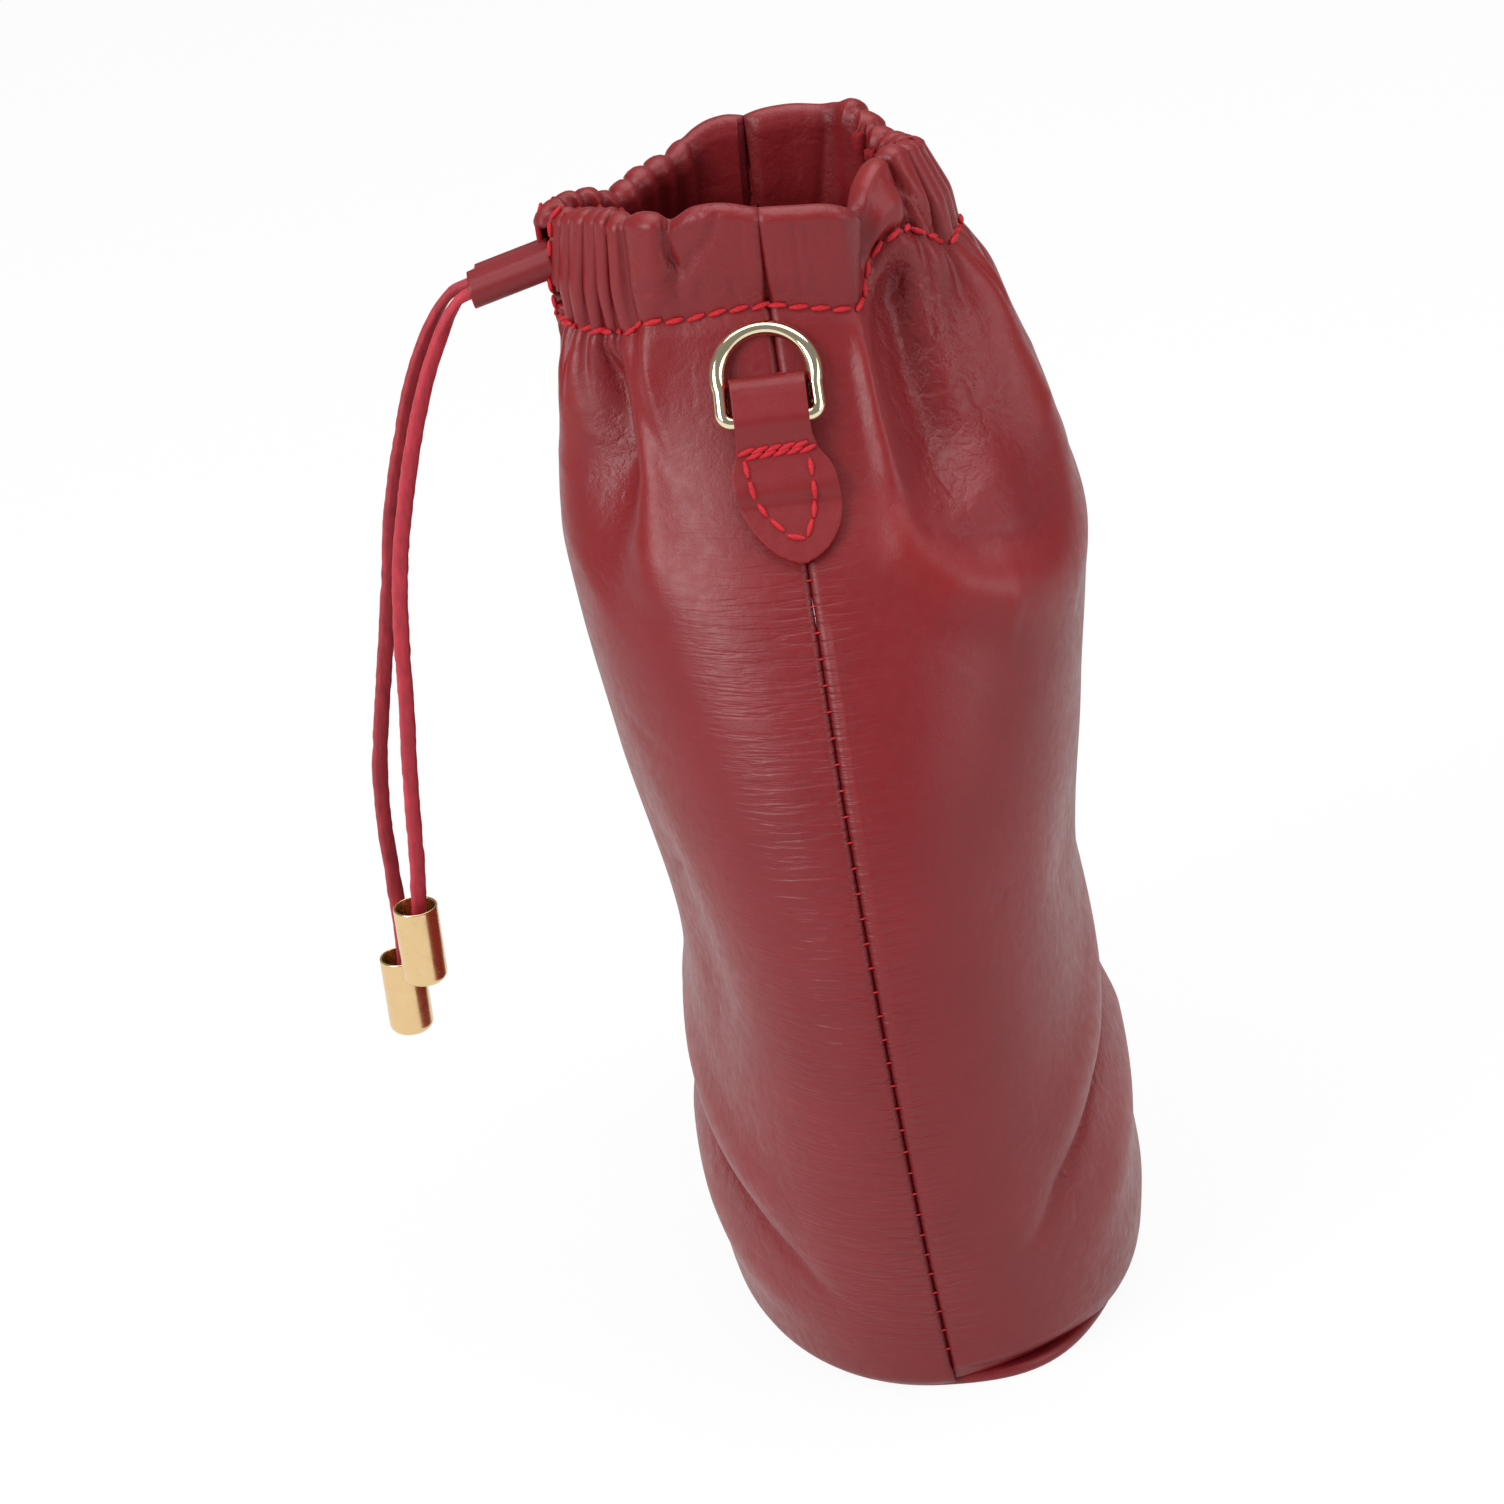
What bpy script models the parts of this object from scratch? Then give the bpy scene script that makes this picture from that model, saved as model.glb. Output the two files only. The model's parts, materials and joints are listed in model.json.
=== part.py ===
# Gathered leather drawstring pouch, standing on its oval base.
# Metres, +Z up. X is the broad width, the laces leave the front at -Y, and the
# origin is the middle of the base's underside.
import math

import bmesh
import bpy
from mathutils import Vector

for old_object in list(bpy.data.objects):
    bpy.data.objects.remove(old_object, do_unlink=True)

MM = 0.001

# Overall sizes
POUCH_HEIGHT = 222.0 * MM
BASE_WIDTH = 140.0 * MM
BASE_DEPTH = 84.0 * MM

# Leather and the clearance between touching pieces
LEATHER = 1.2 * MM
GAP = 0.3 * MM

# Body outline
BODY_WIDTH = 152.0 * MM
WAIST_DEPTH = 77.0 * MM
SHOULDER_WIDTH = 110.0 * MM
SHOULDER_DEPTH = 95.5 * MM
MOUTH_LEAN = -10.9 * MM

# Gathered mouth with its drawcord channel
MOUTH_WIDTH = 49.0 * MM
MOUTH_DEPTH = 70.0 * MM
FRONT_RIM_DROP = 6.5 * MM
BACK_RIM_DROP = 3.5 * MM
CHANNEL_DEPTH = 20.5 * MM
FLAT_STRIP = 17.0 * MM
GATHER_HEIGHT = 40.0 * MM
PLEATS = 6
PLEAT_OUT = 2.6 * MM
PLEAT_IN = 1.4 * MM
SMOOTH_BY_SLOT = 0.16

# Seams
SEAM_ALLOWANCE = 4.0 * MM
SEAM_GAP = GAP
ALLOWANCE_START = 12.0 * MM
BASE_EDGE_ROUND = 1.75 * MM
BASE_ALLOWANCE = 5.5 * MM

# Flat lace, modelled as a round cord as wide as the lace
LACE = 2.6 * MM
LACE_SPACING = 5.6 * MM
CORD_DROP = 8.0 * MM
SLOT_WIDTH = 12.0 * MM
SLOT_HEIGHT = 5.6 * MM
SLOT_CUT_MARGIN = 2.0 * MM

# Leather slider with two channels, one for each lace
SLIDER_LENGTH = 15.4 * MM
SLIDER_TUBE = 6.0 * MM
SLIDER_BORE_CLEARANCE = 0.5 * MM
SLIDER_DROP_DEG = 15.0
SLIDER_OFF_POUCH = 1.6 * MM
SLIDER_LEAD_OUT = 2.0 * MM

# Metal lace ends
FERRULE_DIAMETER = 8.6 * MM
FERRULE_LENGTH = 16.0 * MM
FERRULE_WALL = 0.5 * MM
FERRULE_FOOT = 1.6 * MM

# D-rings and the leather tabs that hold them
RING_WIRE = 2.8 * MM
RING_WIDTH = 20.2 * MM
RING_HEIGHT = 19.4 * MM
RING_BAR = 17.0 * MM
RING_CORNER = 1.8 * MM
RING_BELOW_CHANNEL = 2.4 * MM
RING_TOWARDS_FRONT = 2.6 * MM
RING_PLAY = 0.4 * MM
TAB_NECK = RING_BAR - RING_WIRE - 2.0 * RING_PLAY
TAB_SHIELD = 18.4 * MM
TAB_POCKET_RISE = 5.0 * MM
TAB_SHIELD_DROP = 26.0 * MM
TAB_BACK_DROP = 9.0 * MM
TAB_OFF_WALL = 0.5 * MM

# Mesh density
PANEL_COLUMNS = 40
BODY_ROW_SHARES = (0.07, 0.16, 0.27, 0.38, 0.48, 0.57, 0.65, 0.72, 0.78, 0.84, 0.89, 0.94, 1.0)
BASE_SIDES = 48
ROUND_SIDES = 16
WIRE_SIDES_RESOLUTION = 2
CORD_POINTS = 80
SECTION_STEPS = 240

# Heights that follow from the sizes above
PANEL_FOOT = 2.0 * BASE_EDGE_ROUND + GAP
CHANNEL_FOOT = POUCH_HEIGHT - CHANNEL_DEPTH
GATHER_FOOT = CHANNEL_FOOT - GATHER_HEIGHT
CHANNEL_HALF = LACE / 2.0 + 2.0 * GAP + LEATHER
CORD_HEIGHT = POUCH_HEIGHT - CORD_DROP


def blend(edge_0, edge_1, value):
    """Go smoothly from 0 at edge_0 to 1 at edge_1."""
    t = (value - edge_0) / (edge_1 - edge_0)
    t = min(max(t, 0.0), 1.0)
    return t * t * (3.0 - 2.0 * t)


def read_stations(stations, height):
    """Read a smooth curve through (height, value) stations."""
    if height <= stations[0][0]:
        return stations[0][1]
    if height >= stations[-1][0]:
        return stations[-1][1]
    i = 0
    while stations[i + 1][0] < height:
        i += 1
    h0, v0 = stations[i]
    h1, v1 = stations[i + 1]
    before = stations[max(i - 1, 0)]
    after = stations[min(i + 2, len(stations) - 1)]
    slope_0 = (v1 - before[1]) / (h1 - before[0])
    slope_1 = (after[1] - v0) / (after[0] - h0)
    span = h1 - h0
    t = (height - h0) / span
    rise = (3.0 - 2.0 * t) * t * t
    return (
        v0
        + (v1 - v0) * rise
        + slope_0 * span * (t * (1.0 - t) ** 2)
        - slope_1 * span * (t * t * (1.0 - t))
    )


def body_height(share):
    """Height at a share of the wall between the base seam and the channel."""
    return PANEL_FOOT + share * (CHANNEL_FOOT - PANEL_FOOT)


# Outline of the wall's outer face, as (height, size) stations. Each size is a share
# of the nearest overall size: half width, depth in front and depth behind.
HALF_WIDTHS = [
    (PANEL_FOOT, 0.489 * BASE_WIDTH),
    (body_height(0.05), 0.501 * BASE_WIDTH),
    (body_height(0.20), 0.492 * BODY_WIDTH),
    (body_height(0.38), 0.500 * BODY_WIDTH),
    (body_height(0.58), 0.461 * BODY_WIDTH),
    (body_height(0.76), 0.500 * SHOULDER_WIDTH),
    (body_height(0.885), 0.242 * (SHOULDER_WIDTH + MOUTH_WIDTH)),
    (CHANNEL_FOOT, 0.510 * MOUTH_WIDTH),
    (POUCH_HEIGHT, 0.500 * MOUTH_WIDTH),
]
FRONT_DEPTHS = [
    (PANEL_FOOT, 0.470 * BASE_DEPTH),
    (body_height(0.05), 0.476 * BASE_DEPTH),
    (body_height(0.18), 0.500 * WAIST_DEPTH),
    (body_height(0.38), 0.457 * WAIST_DEPTH),
    (body_height(0.58), 0.421 * SHOULDER_DEPTH),
    (body_height(0.77), 0.453 * SHOULDER_DEPTH),
    (body_height(0.885), 0.237 * (SHOULDER_DEPTH + MOUTH_DEPTH)),
    (CHANNEL_FOOT, 0.535 * MOUTH_DEPTH),
    (POUCH_HEIGHT, 0.500 * MOUTH_DEPTH),
]
BACK_DEPTHS = [
    (PANEL_FOOT, 0.506 * BASE_DEPTH),
    (body_height(0.05), 0.524 * BASE_DEPTH),
    (body_height(0.18), 0.556 * WAIST_DEPTH),
    (body_height(0.38), 0.545 * WAIST_DEPTH),
    (body_height(0.58), 0.505 * SHOULDER_DEPTH),
    (body_height(0.75), 0.547 * SHOULDER_DEPTH),
    (body_height(0.885), 0.271 * (SHOULDER_DEPTH + MOUTH_DEPTH)),
    (CHANNEL_FOOT, 0.521 * MOUTH_DEPTH),
    (POUCH_HEIGHT, 0.400 * MOUTH_DEPTH),
]
SEAM_LEANS = [
    (0.0, 0.0),
    (body_height(0.18), 0.32 * MOUTH_LEAN),
    (body_height(0.55), 0.75 * MOUTH_LEAN),
    (CHANNEL_FOOT, MOUTH_LEAN),
    (POUCH_HEIGHT, MOUTH_LEAN),
]
# Power of the section's curve: 2 is an ellipse, and more is squarer
FRONT_SQUARENESS = [
    (PANEL_FOOT, 2.15),
    (body_height(0.50), 2.2),
    (body_height(0.85), 2.35),
    (CHANNEL_FOOT, 2.1),
]
BACK_SQUARENESS = [
    (PANEL_FOOT, 2.15),
    (body_height(0.50), 2.2),
    (body_height(0.85), 2.5),
    (CHANNEL_FOOT, 2.8),
]


def section_point(height, angle, side):
    """Point of the wall's outer face. Angle 0 is the seam at +X, pi the seam at -X."""
    front = side < 0
    power = 2.0 / read_stations(FRONT_SQUARENESS if front else BACK_SQUARENESS, height)
    half_width = read_stations(HALF_WIDTHS, height)
    depth = read_stations(FRONT_DEPTHS if front else BACK_DEPTHS, height)
    across = math.cos(angle)
    away = max(math.sin(angle), 0.0) ** power
    x = half_width * math.copysign(abs(across) ** power, across)
    y = side * depth * away + read_stations(SEAM_LEANS, height)
    # The rim hangs lower at the front and the back than above the side seams
    rim_drop = (FRONT_RIM_DROP if front else BACK_RIM_DROP) * away * away
    return Vector((x, y, height - rim_drop * blend(GATHER_FOOT, CHANNEL_FOOT, height)))


def section_normal(height, angle, side):
    """Level outward normal of the wall's section."""
    step = 0.01
    low = max(angle - step, 0.0)
    high = min(angle + step, math.pi)
    along = section_point(height, high, side) - section_point(height, low, side)
    return Vector((along.y * side, along.x * -side, 0.0)).normalized()


def section_angles(height, side, shares):
    """Angles at which the section's arc length reaches each share of its whole."""
    angles = [math.pi * i / SECTION_STEPS for i in range(SECTION_STEPS + 1)]
    points = [section_point(height, angle, side) for angle in angles]
    lengths = [0.0]
    for i in range(SECTION_STEPS):
        lengths.append(lengths[-1] + (points[i + 1] - points[i]).length)
    found = []
    i = 0
    for share in shares:
        target = share * lengths[-1]
        while i < SECTION_STEPS - 1 and lengths[i + 1] < target:
            i += 1
        part = (target - lengths[i]) / (lengths[i + 1] - lengths[i])
        found.append(angles[i] + (angles[i + 1] - angles[i]) * part)
    return found, lengths[-1]


LEATHER_WIDTH = section_angles(body_height(0.38), -1, [0.0])[1]
STRIP_SHARE = FLAT_STRIP / LEATHER_WIDTH


def gathered_share(share, mouth_length):
    """Where a share of the leather lies along the gathered mouth's section.

    The strip beside each side seam keeps its width. All the rest is gathered.
    """
    strip = FLAT_STRIP / mouth_length
    if share < STRIP_SHARE:
        return share * strip / STRIP_SHARE
    if share > 1.0 - STRIP_SHARE:
        return 1.0 - (1.0 - share) * strip / STRIP_SHARE
    inside = (share - STRIP_SHARE) / (1.0 - 2.0 * STRIP_SHARE)
    return strip + inside * (1.0 - 2.0 * strip)


def pleat_wave(share, side):
    """Pleat height from 0 to 1 across the gathered part of a panel."""
    inside = (share - STRIP_SHARE) / (1.0 - 2.0 * STRIP_SHARE)
    inside = min(max(inside, 0.0), 1.0)
    wave = 0.5 - 0.5 * math.cos(2.0 * math.pi * PLEATS * inside)
    if side > 0:
        return wave
    # The front lies flat round its slot, where the slider is pushed up to it
    return wave * blend(0.5 * SMOOTH_BY_SLOT, SMOOTH_BY_SLOT, abs(inside - 0.5))


def panel_profile():
    """Rows of a panel from the base seam up, over the rim and down the hem.

    Each row is (height, inset from the wall's outer face, pleat height outwards).
    """
    rows = []
    rows.append((PANEL_FOOT, BASE_ALLOWANCE - 1.0 * MM, 0.0))
    rows.append((PANEL_FOOT, 1.4 * MM, 0.0))
    rows.append((PANEL_FOOT + 0.6 * MM, 0.35 * MM, 0.0))
    rows.append((PANEL_FOOT + 2.2 * MM, 0.0, 0.0))
    for share in BODY_ROW_SHARES:
        height = body_height(share)
        pleat = PLEAT_OUT * blend(GATHER_FOOT, CHANNEL_FOOT, height)
        rows.append((height, 0.0, pleat))
    # The channel stands off the wall, and its hem comes back to the stitch line
    inner_face = 2.0 * CHANNEL_HALF
    straight = CHANNEL_DEPTH - CHANNEL_HALF
    for share in (0.35, 0.7, 1.0):
        rows.append((CHANNEL_FOOT + straight * share, 0.0, PLEAT_OUT))
    for turn_deg in (45.0, 90.0, 135.0):
        turn = math.radians(turn_deg)
        inset = CHANNEL_HALF * (1.0 - math.cos(turn))
        height = POUCH_HEIGHT - CHANNEL_HALF * (1.0 - math.sin(turn))
        pleat = PLEAT_OUT * max(math.cos(turn), 0.0) - PLEAT_IN * max(-math.cos(turn), 0.0)
        rows.append((height, inset, pleat))
    for share in (1.0, 0.65, 0.3):
        rows.append((CHANNEL_FOOT + straight * share, inner_face, -PLEAT_IN))
    hem_end = 2.0 * LEATHER + 2.0 * GAP
    rows.append((CHANNEL_FOOT + 0.5 * MM, hem_end, 0.0))
    rows.append((CHANNEL_FOOT - 2.5 * MM, hem_end, 0.0))
    return rows


def allowance_depth(height, inset):
    """Depth of the turned-in seam edge. It is trimmed away at the base and channel."""
    if inset > 0.0:
        return 0.0
    rising = blend(ALLOWANCE_START, ALLOWANCE_START + 6.0 * MM, height)
    ending = 1.0 - blend(CHANNEL_FOOT - 14.0 * MM, CHANNEL_FOOT - 8.0 * MM, height)
    return SEAM_ALLOWANCE * rising * ending


def panel_point(height, inset, pleat, angle, share, side):
    """Point of the grain face of a panel."""
    point = section_point(height, angle, side)
    normal = section_normal(height, angle, side)
    # The hem's own leather ends at the stitch line, so its pleats follow the wall
    wall_pleat = 0.0
    if inset > 0.0 and height < CHANNEL_FOOT + 1.0 * MM and height > GATHER_FOOT:
        wall_pleat = PLEAT_OUT * blend(GATHER_FOOT, CHANNEL_FOOT, height)
    return point + normal * ((pleat + wall_pleat) * pleat_wave(share, side) - inset)


def material(name, colour, roughness, metallic=0.0):
    """Plain finish of one sub-part."""
    finish = bpy.data.materials.new(name)
    finish.use_nodes = True
    shader = finish.node_tree.nodes["Principled BSDF"]
    shader.inputs["Base Color"].default_value = (*colour, 1.0)
    shader.inputs["Roughness"].default_value = roughness
    shader.inputs["Metallic"].default_value = metallic
    return finish


OXBLOOD = (0.205, 0.016, 0.020)
LACE_RED = (0.420, 0.020, 0.038)
PALE_GOLD = (0.830, 0.700, 0.450)
WARM_GOLD = (0.780, 0.540, 0.240)


def add_object(name, data, finish):
    """Put a mesh or a curve in the scene under its own name."""
    data.materials.append(finish)
    made = bpy.data.objects.new(name, data)
    bpy.context.scene.collection.objects.link(made)
    return made


def mesh_from(name, builder):
    """Turn a bmesh into a smooth-shaded mesh."""
    mesh = bpy.data.meshes.new(name)
    builder.to_mesh(mesh)
    builder.free()
    mesh.shade_smooth()
    return mesh


def grid_faces(builder, rows, loop=False):
    """Join neighbouring rows of points with four-sided faces."""
    made = [[builder.verts.new(point) for point in row] for row in rows]
    for lower, upper in zip(made[:-1], made[1:]):
        count = len(lower)
        for i in range(count if loop else count - 1):
            j = (i + 1) % count
            builder.faces.new((lower[i], lower[j], upper[j], upper[i]))
    return made


def solidify(target, thickness, offset):
    """Give a leather sheet its thickness."""
    wall = target.modifiers.new("leather thickness", "SOLIDIFY")
    wall.thickness = thickness
    wall.offset = offset
    return wall


def panel_sheet(side):
    """Grain face of the front (side -1) or the back (side 1) panel."""
    shares = [i / PANEL_COLUMNS for i in range(PANEL_COLUMNS + 1)]
    mouth_length = section_angles(POUCH_HEIGHT, side, [0.0])[1]
    rows = []
    for height, inset, pleat in panel_profile():
        gathering = blend(GATHER_FOOT, CHANNEL_FOOT, height)
        lies_at = [
            share + (gathered_share(share, mouth_length) - share) * gathering
            for share in shares
        ]
        angles, length = section_angles(height, side, lies_at)
        row = [
            panel_point(height, inset, pleat, angle, share, side)
            for angle, share in zip(angles, shares)
        ]
        # Each panel stops half a gap short of the seam, and its edge turns in
        seam_y = read_stations(SEAM_LEANS, height)
        depth = allowance_depth(height, inset)
        for end in (0, -1):
            inward = -1.0 if end == 0 else 1.0
            edge = row[end].copy()
            edge.y = seam_y + side * SEAM_GAP / 2.0
            turned = edge + Vector((inward * depth, 0.0, 0.0))
            row[end] = edge
            if end == 0:
                row.insert(0, turned + Vector((0.0, side * 0.02 * MM, 0.0)))
            else:
                row.append(turned + Vector((0.0, side * 0.02 * MM, 0.0)))
        rows.append(row)
    return rows


def make_panel(name, side, finish):
    """One body panel: wall, pleated neck and hollow channel, all one piece of leather."""
    builder = bmesh.new()
    grid_faces(builder, panel_sheet(side))
    bmesh.ops.remove_doubles(builder, verts=builder.verts, dist=0.05 * MM)
    if side < 0:
        bmesh.ops.reverse_faces(builder, faces=builder.faces)
    mesh = mesh_from(name, builder)
    panel = add_object(name, mesh, finish)
    solidify(panel, LEATHER, -1.0)
    return panel


def base_outline(inset, height, angle):
    """Point of the base's outline, which is the foot of the two panels."""
    side = -1 if angle <= math.pi else 1
    within = angle if side < 0 else 2.0 * math.pi - angle
    point = section_point(PANEL_FOOT, within, side)
    normal = section_normal(PANEL_FOOT, within, side)
    placed = point - normal * inset
    placed.z = height
    return placed


def make_base(name, finish):
    """Oval base: flat underside, rounded edge and a turned-in seam allowance."""
    turns = [0.0, 45.0, 90.0, 135.0, 180.0]
    profile = [(BASE_EDGE_ROUND + 9.0 * MM, 0.0)]
    for turn_deg in turns:
        turn = math.radians(turn_deg)
        inset = BASE_EDGE_ROUND * (1.0 - math.sin(turn)) + 0.2 * MM
        profile.append((inset, BASE_EDGE_ROUND * (1.0 - math.cos(turn))))
    profile.append((BASE_ALLOWANCE, 2.0 * BASE_EDGE_ROUND))
    rows = []
    for inset, height in profile:
        sides = range(BASE_SIDES)
        rows.append([base_outline(inset, height, 2.0 * math.pi * i / BASE_SIDES) for i in sides])
    builder = bmesh.new()
    rings = grid_faces(builder, rows, loop=True)
    builder.faces.new(rings[0])
    bmesh.ops.recalc_face_normals(builder, faces=builder.faces)
    builder.normal_update()
    underside = max(builder.faces, key=lambda face: face.calc_area())
    if underside.normal.z > 0.0:
        bmesh.ops.reverse_faces(builder, faces=builder.faces)
    base = add_object(name, mesh_from(name, builder), finish)
    solidify(base, LEATHER, -1.0)
    return base


def wall_walk(start_height, distance):
    """Walk along the wall's seam line. Distance is positive downwards."""
    step = 0.25 * MM * math.copysign(1.0, distance)
    height = start_height
    for _ in range(int(round(abs(distance) / abs(step)))):
        slope = wall_slope(height)
        height -= step * math.cos(slope)
    return height


def wall_slope(height):
    """Angle between the wall's seam line and the vertical, where it leans inwards."""
    step = 0.5 * MM
    above = read_stations(HALF_WIDTHS, height + step)
    below = read_stations(HALF_WIDTHS, height - step)
    return math.atan2(below - above, 2.0 * step)


def wall_frame(start_height, distance, offset):
    """Point in the XZ plane at a distance down the wall and an offset off it."""
    height = wall_walk(start_height, distance)
    slope = wall_slope(height)
    x = read_stations(HALF_WIDTHS, height) + offset * math.cos(slope)
    return x, height + offset * math.sin(slope)


# The ring's bar hangs this far below the channel's stitch line, measured on the wall
BAR_BELOW_CHANNEL = RING_BELOW_CHANNEL + RING_HEIGHT - RING_WIRE / 2.0
BAR_WALL_HEIGHT = wall_walk(CHANNEL_FOOT, BAR_BELOW_CHANNEL)
BACK_LAYER = TAB_OFF_WALL + LEATHER / 2.0
BAR_OFFSET = TAB_OFF_WALL + LEATHER + RING_PLAY + RING_WIRE / 2.0
FRONT_LAYER = BAR_OFFSET + RING_WIRE / 2.0 + RING_PLAY + LEATHER / 2.0
BAR_X, BAR_Z = wall_frame(BAR_WALL_HEIGHT, 0.0, BAR_OFFSET)
BAR_Y = read_stations(SEAM_LEANS, BAR_WALL_HEIGHT) - RING_TOWARDS_FRONT


def tab_path():
    """The tab's leather from its back end, over the ring's bar, down to the tip.

    Each row is (distance below the bar, offset from the wall, half width).
    """
    neck = TAB_NECK / 2.0
    shield = TAB_SHIELD / 2.0
    loop_radius = (FRONT_LAYER - BACK_LAYER) / 2.0
    loop_middle = (FRONT_LAYER + BACK_LAYER) / 2.0
    rows = []
    for distance in (TAB_BACK_DROP, 0.45 * TAB_BACK_DROP, 0.0, -TAB_POCKET_RISE):
        rows.append((distance, BACK_LAYER, neck))
    for turn_deg in (30.0, 60.0, 90.0, 120.0, 150.0):
        turn = math.radians(turn_deg)
        rise = TAB_POCKET_RISE + loop_radius * math.sin(turn)
        rows.append((-rise, loop_middle - loop_radius * math.cos(turn), neck))
    rows.append((-TAB_POCKET_RISE, FRONT_LAYER, neck))
    rows.append((0.0, FRONT_LAYER, neck))
    lapped = BACK_LAYER + LEATHER + GAP
    for share, widening in ((0.3, 0.1), (0.6, 0.45), (0.85, 0.8), (1.1, 1.0)):
        distance = TAB_BACK_DROP * share + 1.0 * MM
        drop = blend(0.0, 0.75 * TAB_BACK_DROP, distance)
        offset = FRONT_LAYER + (lapped - FRONT_LAYER) * drop
        rows.append((distance, offset, neck + (shield - neck) * widening))
    settled = TAB_BACK_DROP + 4.0 * MM
    taper = TAB_SHIELD_DROP - settled
    for share in (0.0, 0.3, 0.55, 0.75, 0.88, 0.96, 1.0):
        half = shield * max(1.0 - share ** 2.2, 0.0) ** 0.62
        rows.append((settled + taper * share, BACK_LAYER, max(half, 0.8 * MM)))
    return rows


def make_tab(name, side_x, finish):
    """Leather tab folded over the ring's bar, with its shield lying on the wall."""
    columns = (-1.0, -0.62, -0.25, 0.25, 0.62, 1.0)
    rows = []
    for distance, offset, half in tab_path():
        x, z = wall_frame(BAR_WALL_HEIGHT, distance, offset)
        # The shield's tip comes back onto the side seam
        middle = BAR_Y + RING_TOWARDS_FRONT * blend(0.0, TAB_SHIELD_DROP, distance)
        rows.append([Vector((side_x * x, middle + half * share, z)) for share in columns])
    builder = bmesh.new()
    grid_faces(builder, rows)
    tab = add_object(name, mesh_from(name, builder), finish)
    solidify(tab, LEATHER, 0.0)
    return tab


def ring_outline():
    """Centre line of a D-ring with its bar at the origin: (across, up) points."""
    half_bar = RING_BAR / 2.0
    arc_radius = (RING_WIDTH - RING_WIRE) / 2.0
    arc_up = RING_HEIGHT - RING_WIRE - arc_radius
    corner = RING_CORNER
    points = []
    for turn_deg in range(-90, 1, 30):
        turn = math.radians(turn_deg)
        across = half_bar - corner + corner * math.cos(turn)
        points.append((across, corner + corner * math.sin(turn)))
    for turn_deg in range(-15, 196, 15):
        turn = math.radians(turn_deg)
        points.append((arc_radius * math.cos(turn), arc_up + arc_radius * math.sin(turn)))
    points += [(-across, up) for across, up in reversed(points[:4])]
    return points


def make_ring(name, side_x, finish):
    """D-ring of round wire. Its origin is on the bar, which is its hinge axis."""
    curve = bpy.data.curves.new(name, "CURVE")
    curve.dimensions = "3D"
    curve.bevel_depth = RING_WIRE / 2.0
    curve.bevel_resolution = WIRE_SIDES_RESOLUTION
    spline = curve.splines.new("POLY")
    outline = ring_outline()
    spline.points.add(len(outline) - 1)
    lean = wall_slope(BAR_WALL_HEIGHT)
    for point, (across, up) in zip(spline.points, outline):
        point.co = (-side_x * up * math.sin(lean), across, up * math.cos(lean), 1.0)
    spline.use_cyclic_u = True
    ring = add_object(name, curve, finish)
    ring.location = (side_x * BAR_X, BAR_Y, BAR_Z)
    return ring


SLIDER_AXIS = Vector((
    0.0,
    -math.cos(math.radians(SLIDER_DROP_DEG)),
    -math.sin(math.radians(SLIDER_DROP_DEG)),
))
SLOT_PLACE = section_point(CORD_HEIGHT, math.pi / 2.0, -1)
SLIDER_INNER_END = SLOT_PLACE - Vector((0.0, SLIDER_OFF_POUCH, 0.0))


def make_slider(name, finish):
    """Folded leather double tube that runs on both laces."""
    outer = SLIDER_TUBE / 2.0
    bore = LACE / 2.0 + SLIDER_BORE_CLEARANCE
    centre = LACE_SPACING / 2.0
    # The two tubes meet at the sewn crease, where their outlines cross
    crease = math.acos(centre / outer)
    outline = []
    arc_steps = 12
    for step in range(arc_steps + 1):
        turn = -math.pi + crease + (2.0 * math.pi - 2.0 * crease) * step / arc_steps
        outline.append((centre + outer * math.cos(turn), outer * math.sin(turn)))
    outline += [(-across, -up) for across, up in outline[1:-1]]
    curve = bpy.data.curves.new(name, "CURVE")
    curve.dimensions = "2D"
    curve.fill_mode = "BOTH"
    curve.extrude = SLIDER_LENGTH / 2.0
    spline_sets = [outline]
    for middle in (-centre, centre):
        turns = [2.0 * math.pi * i / ROUND_SIDES for i in range(ROUND_SIDES)]
        spline_sets.append([(middle + bore * math.cos(t), bore * math.sin(t)) for t in turns])
    for points in spline_sets:
        spline = curve.splines.new("POLY")
        spline.points.add(len(points) - 1)
        for point, (across, up) in zip(spline.points, points):
            point.co = (across, up, 0.0, 1.0)
        spline.use_cyclic_u = True
    slider = add_object(name, curve, finish)
    slider.location = SLIDER_INNER_END + SLIDER_AXIS * SLIDER_LENGTH / 2.0
    slider.rotation_euler = SLIDER_AXIS.to_track_quat("Z", "Y").to_euler()
    return slider


# Hand-laid route of each lace below the slider, in millimetres
FRONT_LACE_ROUTE = [
    (2.9, -67.6, 201.0),
    (2.9, -70.4, 196.4),
    (3.0, -74.2, 188.2),
    (3.1, -78.2, 176.8),
    (3.2, -81.9, 163.1),
    (3.4, -84.4, 151.0),
    (3.6, -86.0, 138.0),
    (3.8, -87.0, 124.0),
    (4.0, -88.2, 111.3),
    (4.2, -89.0, 100.0),
    (4.3, -89.6, 91.0),
    (4.4, -90.4, 83.0),
    (4.4, -91.0, 76.0),
    (4.4, -91.2, 70.0),
]
BACK_LACE_ROUTE = [
    (-2.9, -68.6, 201.4),
    (-2.9, -72.4, 196.2),
    (-3.0, -76.9, 186.8),
    (-3.1, -81.0, 174.6),
    (-3.2, -84.7, 160.8),
    (-3.4, -87.0, 148.0),
    (-3.6, -89.3, 135.5),
    (-3.8, -92.0, 122.0),
    (-4.0, -94.3, 109.0),
    (-4.1, -95.2, 97.0),
    (-4.2, -95.2, 85.0),
    (-4.2, -95.2, 74.0),
    (-4.2, -95.6, 64.0),
    (-4.2, -96.0, 55.4),
]


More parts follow.
